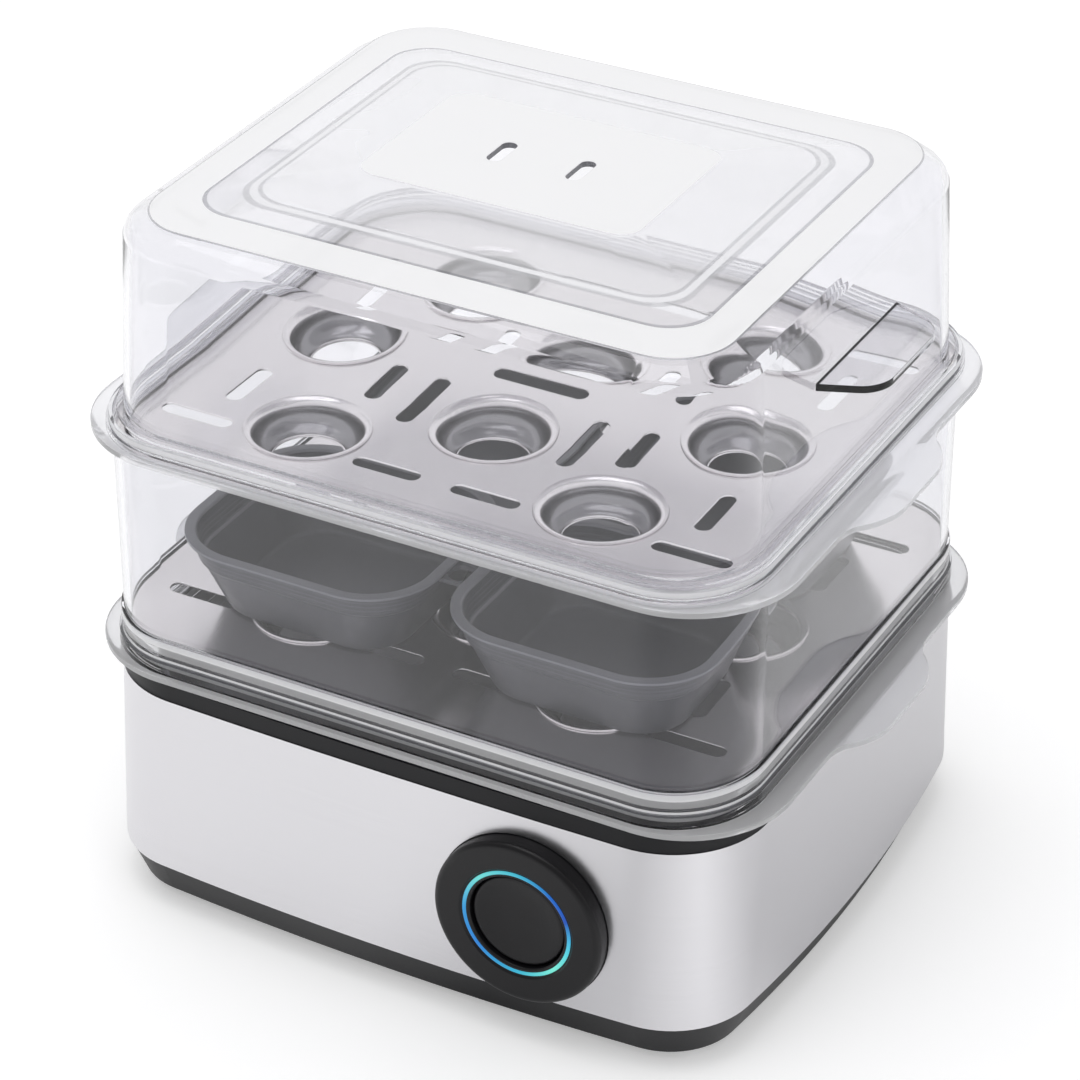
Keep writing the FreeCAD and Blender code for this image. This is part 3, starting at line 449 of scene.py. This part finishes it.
finishes = {
    "rubber": mouldedFinish("softRubber", tone(24, 24, 25), tone(38, 38, 40), 900, 0.75),
    "blackPlastic": mouldedFinish("blackMoulding", tone(14, 14, 17), tone(22, 22, 26), 1400, 0.42,
                                  0.06, 0.12, values={"Specular IOR Level": 0.3}),
    "charcoal": mouldedFinish("charcoalMoulding", tone(13, 12, 15), tone(21, 20, 23), 1700, 0.36,
                              0.05, 0.1, values={"Specular IOR Level": 0.35}),
    "darkPlastic": mouldedFinish("darkMoulding", tone(30, 30, 34), tone(44, 44, 48), 1200, 0.5),
    "plainSteel": steelFinish("plainSteel", tone(165, 165, 168), tone(205, 205, 208),
                              (60, 60, 500), 0.3, 0.06),
    "sleeveSteel": steelFinish("brushedSleeve", tone(212, 211, 214), tone(222, 221, 224),
                               (5, 5, 1500), 0.26, 0.03),
    "upperPlate": steelFinish("pressedUpperPlate", tone(224, 221, 222), tone(234, 231, 232),
                              (12, 900, 12), 0.19, 0.03, 0.02, cups=166.2),
    "lowerPlate": steelFinish("pressedLowerPlate", tone(224, 221, 222), tone(234, 231, 232),
                              (12, 900, 12), 0.19, 0.03, 0.02, cups=100.2),
    "silicone": mouldedFinish("sealSilicone", tone(150, 150, 155), tone(175, 175, 180), 700, 0.6),
    "aluminium": mouldedFinish("panCoat", tone(120, 120, 126), tone(146, 146, 152), 1100, 0.38,
                               values={"Metallic": 0.7}),
    "greyCoat": mouldedFinish("greyNonStick", tone(82, 83, 89), tone(90, 91, 97), 420, 0.36,
                              0.03, 0.025, values={"Coat Weight": 0.2, "Coat Roughness": 0.3},
                              # bands: the lighter lines at the rim and at the step are painted
                              # highlights; three fainter lighter lines lie between them
                              bands=[(127.0, 128.0, tone(138, 139, 145), 1.0),
                                     (118.5, 119.3, tone(124, 125, 131), 1.0),
                                     (121.0, 121.4, tone(106, 107, 113), 0.8),
                                     (122.6, 123.0, tone(106, 107, 113), 0.8),
                                     (124.2, 124.6, tone(106, 107, 113), 0.8)]),
    "board": mouldedFinish("lacqueredBoard", tone(18, 96, 58), tone(30, 122, 74), 500, 0.35),
    "brass": steelFinish("bareBrass", tone(196, 158, 84), tone(222, 186, 112), (60, 500, 60), 0.3,
                         0.06),
    "leadJacket": mouldedFinish("leadJacket", tone(140, 32, 28), tone(168, 46, 40), 800, 0.5),
    # lid: the white bands are painted reflections on the rim, the frame and the top; the thin bands
    # after them are painted edge shade; the vents take painted shade
    "clearLid": clearFinish("clearLid", tone(244, 244, 247), tone(249, 249, 251), 0.01,
                            [(238.65, 238.95, 0.95), (239.12, 244.55, 0.3),
                             (244.6, 245.0, 0.97)],
                            [(238.4, 238.65, 0.55), (238.95, 239.12, 0.55)], shadedVents=True),
    # upper tray: the white bands are painted reflections along the rim; the thin bands after them
    # are painted edge shade
    "clearUpper": clearFinish("clearUpperTray", tone(244, 244, 247), tone(249, 249, 251), 0.01,
                              [(165.0, 167.1, 0.5), (169.5, 171.3, 0.7)],
                              [(169.1, 169.5, 0.4), (171.3, 171.7, 0.25)]),
    # lower tray: the white bands are painted reflections along the rim and band; the thin bands
    # after them are painted edge shade
    "clearLower": clearFinish("clearLowerTray", tone(244, 244, 247), tone(249, 249, 251), 0.01,
                              [(87.4, 89.6, 0.5), (94.3, 95.2, 0.8), (96.4, 99.0, 0.35),
                               (99.0, 100.7, 0.85)],
                              [(93.7, 94.2, 0.4), (95.7, 96.0, 0.4)]),
}

cadFinish = {
    "rubber_feet": "rubber", "base_tub": "blackPlastic", "base_screws": "plainSteel",
    "steel_sleeve": "sleeveSteel", "top_collar": "blackPlastic", "pan_seal": "silicone",
    "water_pan": "aluminium", "heating_element": "plainSteel", "element_strap": "plainSteel",
    "strap_nuts": "plainSteel", "thermostat": "darkPlastic", "thermal_fuse": "plainSteel",
    "control_board": "board", "push_switch": "darkPlastic", "board_screws": "plainSteel",
    "power_inlet": "darkPlastic", "inlet_pins": "brass", "inlet_screws": "plainSteel",
    "internal_leads": "leadJacket",
}
for node, key in cadFinish.items():
    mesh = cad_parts[node].data
    mesh.materials.clear()
    mesh.materials.append(finishes[key])
print("finishes made")


# light ring, round bezel and push button

# radii, and depths behind the front or in front of the back
control = {
    "x": 47.6, "z": 44.0, "front": -103.85, "back": -91.85, "radius": 28.8, "rimRound": 1.9,
    "face": 2.2, "faceSink": 0.15, "seat": 19.2, "seatSink": 0.7, "chamfer": 0.5,
    "ring": 18.15, "bead": 0.72, "beadSink": 1.02, "ringCut": 1.2, "ringTail": 2.1,
    "well": 16.4, "wellSink": 1.2, "wellFloor": 2.4,
    "button": 16.0, "recess": 2.0, "buttonThick": 5.0, "buttonEdge": 1.1,
    # the button's hollow: how far in from its edge, how deep, and last the radius at the middle
    "dish": [(2.0, 0.1), (4.3, 0.55), (7.2, 0.92), (10.6, 1.14)], "dishMiddle": (1.2, 1.2),
    "stem": 3.0, "stemReach": 2.7,
}


def ringFinish():
    material, wire, shader = newFinish("glowingRing")
    split = placeOf(wire)
    across = split - control["x"] * mm
    rise = split.outlet("Z") - control["z"] * mm
    angle = wire.maths("ARCTAN2", rise, across) / (2 * math.pi)
    turn = wire.maths("FRACT", angle + 1.0)
    stops = [(0.0, tone(60, 180, 222)), (0.06, tone(18, 78, 182)), (0.14, tone(24, 104, 200)),
             (0.25, tone(64, 186, 210)), (0.375, tone(110, 220, 215)), (0.5, tone(48, 152, 216)),
             (0.62, tone(38, 128, 212)), (0.76, tone(50, 180, 210)), (0.88, tone(120, 235, 215)),
             (0.96, tone(80, 210, 225)), (1.0, tone(60, 180, 222))]
    ramp = wire.node("ShaderNodeValToRGB", {"stops": stops}, {0: turn})
    glow = grainOf(wire, 260.0, 2.0)
    feed(wire, shader, {
        "Emission Color": ramp,
        "Base Color": blendOf(wire, 0.8, ramp, (0, 0, 0, 1)),
        "Roughness": glow * 0.1 + 0.3,
    })
    setShader(shader, {"Emission Strength": 0.85})
    return material


def shapeRound(now, steps):
    # insets and moves the selected round cap along Y: (radius, y)
    for radius, y in steps:
        if now[0] - radius > 0.02:
            bpy.ops.mesh.inset(thickness=(now[0] - radius) * mm, depth=0, use_even_offset=True)
        else:
            bpy.ops.mesh.extrude_region_move()
        bpy.ops.transform.translate(value=(0, (y - now[1]) * mm, 0))
        now = (radius, y)


def makeBezel():
    c = control
    bezel = addRod("controlBezel", c["radius"], c["back"] - c["front"],
                   (c["x"], (c["back"] + c["front"]) / 2.0, c["z"]), 96, facing)
    edit(bezel)
    pickCap(bezel, (0, -1, 0))
    shapeRound((c["radius"], c["front"]), [
        (c["radius"] - c["face"], c["front"]),
        (c["seat"] + c["chamfer"], c["front"] + c["faceSink"]),
        (c["seat"], c["front"] + c["seatSink"]),
        (c["well"] + c["chamfer"], c["front"] + c["seatSink"]),
        (c["well"], c["front"] + c["wellSink"]), (c["well"], c["back"] - c["wellFloor"])])
    leave()
    edit(bezel)
    pick(bezel, "EDGE", lambda edge: all(abs(v.co.y - c["front"] * mm) < 1e-6
         and abs(math.hypot(v.co.x - c["x"] * mm, v.co.z - c["z"] * mm) - c["radius"] * mm) < 1e-5
         for v in edge.verts))
    bpy.ops.mesh.bevel(offset=c["rimRound"] * mm, segments=5, affect="EDGES")
    leave()
    softEdges(bezel, 0.2, 35)
    smooth(bezel, 35)
    return bezel


def makeRing():
    c = control
    deselect()
    place = (c["x"] * mm, (c["front"] + c["beadSink"]) * mm, c["z"] * mm)
    bpy.ops.mesh.primitive_torus_add(location=place, rotation=facing, major_segments=112,
                                     minor_segments=14, major_radius=c["ring"] * mm,
                                     minor_radius=c["bead"] * mm)
    ring = settle("lightRing")
    edit(ring)
    bpy.ops.mesh.select_all(action="SELECT")
    bpy.ops.mesh.bisect(plane_co=(0, (c["front"] + c["ringCut"]) * mm, 0), plane_no=(0, 1, 0),
                        clear_outer=True, use_fill=False)
    pick(ring, "EDGE", lambda edge: edge.is_boundary)
    bpy.ops.mesh.extrude_region_move(TRANSFORM_OT_translate={"value": (0, c["ringTail"] * mm, 0)})
    bridgeOpen(ring)
    leave()
    smooth(ring, 40)
    return ring


def makeButton():
    c = control
    front = c["front"] + c["recess"]
    back = front + c["buttonThick"]
    button = addRod("pushButton", c["button"], c["buttonThick"],
                    (c["x"], (front + back) / 2.0, c["z"]), 80, facing)
    edit(button)
    pickCap(button, (0, -1, 0))
    bpy.ops.mesh.bevel(offset=c["buttonEdge"] * mm, segments=4, affect="EDGES")
    pickCap(button, (0, -1, 0))
    middle, depth = c["dishMiddle"]
    shapeRound((c["button"] - c["buttonEdge"], front),
               [(c["button"] - inward, front + sink) for inward, sink in c["dish"]]
               + [(middle, front + depth)])
    pickCap(button, (0, 1, 0))
    shapeRound((c["button"], back),
               [(c["stem"], back), (c["stem"], c["back"] + c["stemReach"])])
    leave()
    softEdges(button, 0.25, 40)
    smooth(button, 40)
    return button


mount(makeBezel(), "base", "charcoal_plastic", finishes["charcoal"], "control_bezel")
mount(makeRing(), "base", "light_diffuser", ringFinish(), "light_ring")
mount(makeButton(), "button", "charcoal_plastic", finishes["charcoal"], "start_button")
print("control made")


# clear trays

def growTabs(piece, rootX, root, tip, reach, corner, fillet):
    # pulls a handle tab out of the left and right side of a rounded block in edit mode
    for side in (-1, 1):
        for end in (-1, 1):
            pick(piece, "FACE", lambda face: face.normal.x * side > 0.999)
            bpy.ops.mesh.bisect(plane_co=(0, end * root / 2.0 * mm, 0), plane_no=(0, 1, 0))
        pick(piece, "FACE", lambda face: face.normal.x * side > 0.999
             and abs(face.calc_center_median().y) < 1e-3)
        bpy.ops.mesh.extrude_region_move(
            TRANSFORM_OT_translate={"value": (side * reach * mm, 0, 0)})
        bpy.ops.transform.resize(value=(1, tip / root, 1), center_override=(0, 0, 0))
        pick(piece, "EDGE", lambda edge: upright(edge)
             and edge.verts[0].co.x * side > (rootX + reach - 0.5) * mm)
        bpy.ops.mesh.bevel(offset=corner * mm, segments=10, affect="EDGES", clamp_overlap=False)
        pick(piece, "EDGE", lambda edge: upright(edge)
             and abs(edge.verts[0].co.x * side - rootX * mm) < 1e-5
             and abs(abs(edge.verts[0].co.y) - root / 2.0 * mm) < 1e-5)
        bpy.ops.mesh.bevel(offset=fillet * mm, segments=6, affect="EDGES", clamp_overlap=False)


tray = {
    "flange": (238.0, 197.0, 36.0), "thick": 3.6, "under": (232.0, 191.0, 33.0), "rise": 1.7,
    "tabRoot": 62.0, "tabTip": 42.0, "tabReach": 10.0, "tabRound": 9.5, "tabFillet": 6.0,
    "rim": (224.0, 194.0, 31.0), "step": (222.2, 192.2, 30.1),
    "mouth": (219.6, 189.6, 28.8), "well": (201.6, 171.6, 19.8),
    "skirt": (220.6, 190.6, 29.5), "inner": (218.6, 188.6, 28.3), "hall": (216.2, 186.2, 27.3),
    "lip": (205.2, 173.6, 23.1),
}


def makeTray(name, flangeZ, stepZ, rimZ, ledgeZ, below):
    # below: the outlines from the flange's underside down and back up the inside
    t = tray
    top = flangeZ + t["thick"]
    edge = flangeZ + t["rise"]
    piece = roundBlock(name, *t["flange"], edge, top, 20)
    growTabs(piece, t["flange"][0] / 2, t["tabRoot"], t["tabTip"], t["tabReach"], t["tabRound"],
             t["tabFillet"])
    pickCap(piece, (0, 0, 1))
    follow([(*t["flange"], top), (*t["rim"], top), (*t["rim"], stepZ), (*t["step"], stepZ),
            (*t["step"], rimZ), (*t["mouth"], rimZ), (*t["mouth"], ledgeZ), (*t["well"], ledgeZ)])
    dropCap()
    pickCap(piece, (0, 0, -1))
    follow([(*t["flange"], edge), (*t["under"], flangeZ)] + below)
    dropCap()
    bridgeOpen(piece)
    leave()
    softEdges(piece, 0.4, 30)
    smooth(piece, 34)
    return piece


upperTray = makeTray("upperTray", 163.4, 169.3, 171.6, 166.0, [
    (*tray["skirt"], 163.4), (*tray["skirt"], 101.8), (*tray["inner"], 101.8),
    (*tray["inner"], 101.3), (*tray["hall"], 101.3), (*tray["hall"], 164.0),
    (*tray["well"], 164.0)])
lowerTray = makeTray("lowerTray", 85.8, 93.8, 101.8, 100.0, [
    (*tray["lip"], 85.8), (*tray["lip"], 79.4), (*tray["well"], 79.4)])
mount(upperTray, "upper_tray_body", "clear_plastic", finishes["clearUpper"], "upper_tray")
mount(lowerTray, "lower_tray_body", "clear_plastic", finishes["clearLower"], "lower_tray")
print("trays made")


# lid


def makeLid():
    piece = roundBlock("lidShell", *lid["bead"], lid["beadLow"], lid["beadTop"], 20)
    pickCap(piece, (0, 0, 1))
    tabTop = lid["tabZ"] + lid["tabThick"]
    follow([(*lid["bead"], lid["beadTop"]), (*lid["neck"], lid["beadTop"]),
            (*lid["tabLow"], lid["tabZ"]), (*lid["tabHigh"], tabTop)] + lid["crown"])
    pickCap(piece, (0, 0, -1))
    follow([(*lid["bead"], lid["beadLow"])] + lid["hollow"])

    def beside(face, side):
        # the long faces of one side, in the narrow band that the tabs grow from
        middle = face.calc_center_median()
        return (face.normal.x * side > 0.9 and abs(middle.x) > 100 * mm
                and lid["tabZ"] * mm < middle.z < tabTop * mm and face.calc_area() > 50 * mm * mm)

    for side in (-1, 1):
        for end in (-1, 1):
            pick(piece, "FACE", lambda face: beside(face, side))
            bpy.ops.mesh.bisect(plane_co=(0, end * lid["tabRoot"] / 2.0 * mm, 0),
                                plane_no=(0, 1, 0))
        pick(piece, "FACE", lambda face: beside(face, side)
             and abs(face.calc_center_median().y) < 1 * mm)
        bpy.ops.mesh.extrude_region_move(
            TRANSFORM_OT_translate={"value": (side * lid["tabReach"] * mm, 0, 0)})
        bpy.ops.transform.resize(value=(1, lid["tabTip"] / lid["tabRoot"], 1),
                                 center_override=(0, 0, 0))
        pick(piece, "EDGE", lambda edge: all(v.co.x * side > 120 * mm for v in edge.verts)
             and abs(edge.verts[0].co.z - edge.verts[1].co.z) > 1 * mm)
        bpy.ops.mesh.bevel(offset=lid["tabRound"] * mm, segments=8, affect="EDGES",
                           clamp_overlap=False)
    leave()
    vents = []
    for side in (-1, 1):
        vent = addCube("vent", (lid["ventWidth"], lid["ventLength"], 20),
                       (side * lid["ventX"], 0, lid["ventZ"]))
        edit(vent)
        pick(vent, "EDGE", upright)
        bpy.ops.mesh.bevel(offset=lid["ventWidth"] * slotEnd * mm, segments=8, affect="EDGES")
        leave()
        vents.append(vent)
    carve(piece, vents)
    softEdges(piece, 0.35, 26)
    smooth(piece, 30)
    return piece


mount(makeLid(), "lid_body", "clear_plastic", finishes["clearLid"], "lid")
print("lid made")


# poaching cups

pot = {
    "lip": (88.0, 79.0, 24.0), "rimZ": 127.8, "lipThick": 1.2, "under": (83.2, 74.2, 21.6),
    "wall": [(80.4, 71.4, 20.2, 119.4), (78.4, 69.4, 19.2, 118.6), (66.4, 58.4, 17.6, 103.4),
             (64.8, 56.8, 17.0, 101.6), (61.6, 53.6, 15.6, 100.8)],
    "mouth": (81.2, 72.2, 20.6), "throat": (80.4, 71.4, 20.2), "mouthSink": 0.8,
    "hollow": [(77.8, 68.8, 18.9, 119.6), (75.8, 66.8, 17.9, 118.8), (64.6, 56.6, 16.8, 104.6),
               (62.6, 54.6, 15.8, 102.8), (58.6, 50.6, 13.8, 102.0)],
    "pitchX": 95.6, "pitchY": 84.0, "webLow": 124.6, "webThick": 1.6, "webWidth": 26.0,
    "webAcross": 21.6, "crossAcross": 19.0, "webRound": 5.0,
    "holeY": 49.8, "hole": 4.5, "middleHole": 6.3,
}


def makePot(name, hollow):
    # a cup, or its outer shape filled, which cuts the web free of the cups
    rim = pot["rimZ"]
    foot = rim - pot["lipThick"]
    piece = roundBlock(name, *pot["lip"], foot, rim, 16)
    pickCap(piece, (0, 0, -1))
    follow([(*pot["lip"], foot), (*pot["under"], foot)] + pot["wall"])
    if hollow:
        pickCap(piece, (0, 0, 1))
        follow([(*pot["lip"], rim), (*pot["mouth"], rim),
                (*pot["throat"], rim - pot["mouthSink"])] + pot["hollow"])
    leave()
    if hollow:
        softEdges(piece, 0.35, 24)
        smooth(piece, 36)
    return piece


def makePots():
    first = makePot("pot", True)
    plug = makePot("plug", False)
    pots = []
    plugs = []
    for sideX in (-1, 1):
        for sideY in (-1, 1):
            shift = (sideX * pot["pitchX"] / 2, sideY * pot["pitchY"] / 2, 0)
            pots.append(copyOf(first, "pot", shift))
            plugs.append(copyOf(plug, "plug", shift))
    midZ = pot["webLow"] + pot["webThick"] / 2
    web = addCube("web", (pot["webAcross"], pot["pitchY"] + pot["webWidth"], pot["webThick"]),
                  (0, 0, midZ))
    edit(web)
    pick(web, "EDGE", upright)
    bpy.ops.mesh.bevel(offset=pot["webRound"] * mm, segments=6, affect="EDGES")
    leave()
    cross = addCube("cross", (pot["pitchX"] + pot["webWidth"], pot["crossAcross"],
                              pot["webThick"]), (0, 0, midZ))
    carve(web, [cross], "UNION")
    holes = [addRod("hole", pot["hole"], 10, (0, -pot["holeY"], midZ), 32),
             addRod("hole", pot["hole"], 10, (0, pot["holeY"], midZ), 32),
             addRod("hole", pot["middleHole"], 10, (0, 0, midZ), 40)]
    carve(web, holes + plugs)
    softEdges(web, 0.25, 40)
    smooth(web, 40)
    for spare in (first, plug):
        bpy.data.objects.remove(spare)
    return join("poachingPots", pots + [web])


mount(makePots(), "poaching_body", "grey_coating", finishes["greyCoat"], "poaching_cups")
print("poaching cups made")


# egg plates

# slots are x, y, width and depth; the profile is the cups' wall as radius and height
plate = {
    "size": (218.0, 188.0, 28.0), "thick": 0.8, "upper": 166.0, "lower": 100.0,
    "cups": [(50.5, 55.5), (0, 29.5), (71.0, 0)], "slotWidth": 5.6, "through": 4.0,
    "slots": [(0, 0, 33.0, 5.6), (28.0, 24.0, 5.6, 28.0), (44.0, 19.5, 5.6, 21.0),
              (81.0, 40.5, 5.6, 22.5), (85.0, 65.0, 25.6, 5.6), (17.0, 65.0, 23.0, 5.6)],
    "profile": [(20.0, 0.0), (19.3, -0.12), (18.6, -0.45), (18.05, -1.0), (17.7, -1.7),
                (17.6, -2.5), (17.45, -3.6), (17.05, -4.9), (16.35, -6.2), (15.4, -7.3),
                (14.1, -8.2), (12.7, -8.75), (12.15, -8.95), (11.9, -9.3), (11.85, -9.75)],
}


def mirrored(x, y):
    return sorted({(sx * x, sy * y) for sx in (-1, 1) for sy in (-1, 1)})


def makeCup(top):
    deselect()
    bpy.ops.mesh.primitive_circle_add(vertices=72, radius=plate["profile"][0][0] * mm,
                                      location=(0, 0, top * mm), fill_type="NOTHING")
    cup = settle("eggCup")
    edit(cup)
    bpy.ops.mesh.select_all(action="SELECT")
    for now, then in zip(plate["profile"][:-1], plate["profile"][1:]):
        grow = then[0] / now[0]
        bpy.ops.mesh.extrude_region_move()
        bpy.ops.transform.translate(value=(0, 0, (then[1] - now[1]) * mm))
        bpy.ops.transform.resize(value=(grow, grow, 1), center_override=(0, 0, 0))
    bpy.ops.mesh.select_all(action="SELECT")
    bpy.ops.mesh.normals_make_consistent(inside=True)
    leave()
    wall = cup.modifiers.new("wall", "SOLIDIFY")
    wall.thickness = plate["thick"] * mm
    wall.offset = -1
    wall.use_even_offset = True
    applyAll(cup)
    softEdges(cup, 0.15, 50)
    return cup


def makeEggPlate(name, foot):
    top = foot + plate["thick"]
    piece = roundBlock(name, *plate["size"], foot, top, 20)
    leave()
    cutters = []
    for x, y, wide, deep in plate["slots"]:
        for px, py in mirrored(x, y):
            slot = addCube("slot", (wide, deep, plate["through"]), (px, py, foot))
            edit(slot)
            pick(slot, "EDGE", upright)
            bpy.ops.mesh.bevel(offset=plate["slotWidth"] * slotEnd * mm, segments=8,
                               affect="EDGES")
            leave()
            cutters.append(slot)
    places = [spot for cup in plate["cups"] for spot in mirrored(*cup)]
    for px, py in places:
        cutters.append(addRod("mouth", plate["profile"][0][0] - 0.05, plate["through"],
                              (px, py, foot), 72))
    carve(piece, [join("cutters", cutters)])
    softEdges(piece, 0.22, 40, 3)
    cup = makeCup(top)
    cups = [copyOf(cup, "eggCup", (px, py, 0)) for px, py in places]
    bpy.data.objects.remove(cup)
    piece = join(name, [piece] + cups)
    smooth(piece, 40)
    return piece


mount(makeEggPlate("upperEggPlate", plate["upper"]), "upper_plate_body", "satin_steel",
      finishes["upperPlate"], "upper_egg_plate")
mount(makeEggPlate("lowerEggPlate", plate["lower"]), "lower_plate_body", "satin_steel",
      finishes["lowerPlate"], "lower_egg_plate")
print("egg plates made")


# floor, light and camera

studio = {
    "floor": 14.0, "sink": 0.0002, "lift": 0.34,
    # light from all round, and how bright it looks in shiny surfaces, from in front of the
    # object ("front") up to full behind it, over a stretch of directions
    "world": 0.66, "front": 0.35, "rearFrom": 0.35, "rearOver": 0.8,
    # how bright the floor looks in the steel, by the direction round the object from +X: a painted
    # reflection of light and shade
    "paintedReflection": [(0.0, (0.3, 0.3, 0.3, 1)), (0.3, (0.4, 0.4, 0.4, 1)), (0.55, (1, 1, 1, 1)),
              (0.72, (1, 1, 1, 1)), (0.8, (0.1, 0.1, 0.1, 1)), (0.9, (1.2, 1.2, 1.2, 1)),
              (0.97, (0.35, 0.35, 0.35, 1)), (1.0, (0.3, 0.3, 0.3, 1))],
    "lensMm": 127.99, "eye": (0.4991, -0.9151, 0.7550), "tilt": 58.28, "turn": 28.63,
}


def makeFloor():
    deselect()
    bpy.ops.mesh.primitive_plane_add(size=studio["floor"], location=(0, 0, -studio["sink"]))
    floor = bpy.context.object
    floor.name = "studioFloor"
    material, wire, shader = newFinish("paleFloor")
    paper = grainOf(wire, 3.0)
    feed(wire, shader, {"Base Color": blendOf(wire, paper, (0.84, 0.84, 0.845, 1),
                                              (0.86, 0.86, 0.865, 1))})
    setShader(shader, {"Roughness": 0.9, "Specular IOR Level": 0.1})
    path = wire.node("ShaderNodeLightPath", output="Is Camera Ray")
    glossy = path.outlet("Is Glossy Ray")
    through = path.outlet("Is Transmission Ray")
    split = placeOf(wire)
    angle = wire.maths("ARCTAN2", split.outlet("Y"), split) / (2 * math.pi)
    turn = wire.maths("FRACT", angle + 1.0)
    # painted reflection: the floor's glow seen in shiny surfaces changes by direction round the
    # object
    paintedReflection = wire.node("ShaderNodeValToRGB", {"stops": studio["paintedReflection"]}, {0: turn})
    direct = wire.maths("MINIMUM", path + through, 1.0)
    glow = wire.node("ShaderNodeEmission", None, {
        "Color": (1, 1, 1, 1),
        "Strength": (direct + (1.0 - direct) * glossy * paintedReflection) * studio["lift"]})
    total = wire.node("ShaderNodeAddShader", None, {0: Wire(wire.tree, shader.outputs[0]), 1: glow})
    wire.tree.links.new(total.socket, wire.tree.nodes["Material Output"].inputs["Surface"])
    floor.data.materials.append(material)


def makeWorld():
    world = bpy.data.worlds.new("studioWorld")
    world.use_nodes = True
    bpy.context.scene.world = world
    tree = world.node_tree
    wire = Wire(tree)
    back = tree.nodes["Background"]
    path = wire.node("ShaderNodeLightPath", output="Is Camera Ray")
    glossy = path.outlet("Is Glossy Ray")
    through = path.outlet("Is Transmission Ray")
    seen = wire.maths("MAXIMUM", path, through)
    way = wire.node("ShaderNodeTexCoord", output="Generated")
    behind = wire.node("ShaderNodeSeparateXYZ", None, {0: way}).outlet("Y")
    rear = wire.node("ShaderNodeClamp", None,
                     {0: (behind + studio["rearFrom"]) / studio["rearOver"]})
    reflected = rear * (1.0 - studio["front"]) + studio["front"]
    soft = glossy * (reflected - studio["world"]) + studio["world"]
    tree.links.new((seen + (1.0 - seen) * soft).socket, back.inputs["Strength"])
    back.inputs["Color"].default_value = (1, 1, 1, 1)


def softbox(name, place, aim, size, power):
    deselect()
    bpy.ops.object.light_add(type="AREA", location=place)
    lamp = bpy.context.object
    lamp.name = name
    lamp.data.shape = "RECTANGLE"
    lamp.data.size, lamp.data.size_y = size
    lamp.data.energy = power
    lamp.rotation_euler = (Vector(aim) - Vector(place)).to_track_quat("-Z", "Y").to_euler()
    return lamp


makeFloor()
makeWorld()
softbox("topBox", (-0.3, -0.2, 2.2), (0, 0, 0.1), (1.6, 1.6), 14.0)

deselect()
bpy.ops.object.camera_add(location=studio["eye"],
                          rotation=(math.radians(studio["tilt"]), 0, math.radians(studio["turn"])))
camera = bpy.context.object
camera.data.lens = studio["lensMm"]
camera.data.sensor_width = 36.0
bpy.context.scene.camera = camera
bpy.context.scene.view_settings.view_transform = "Standard"
print("studio made")
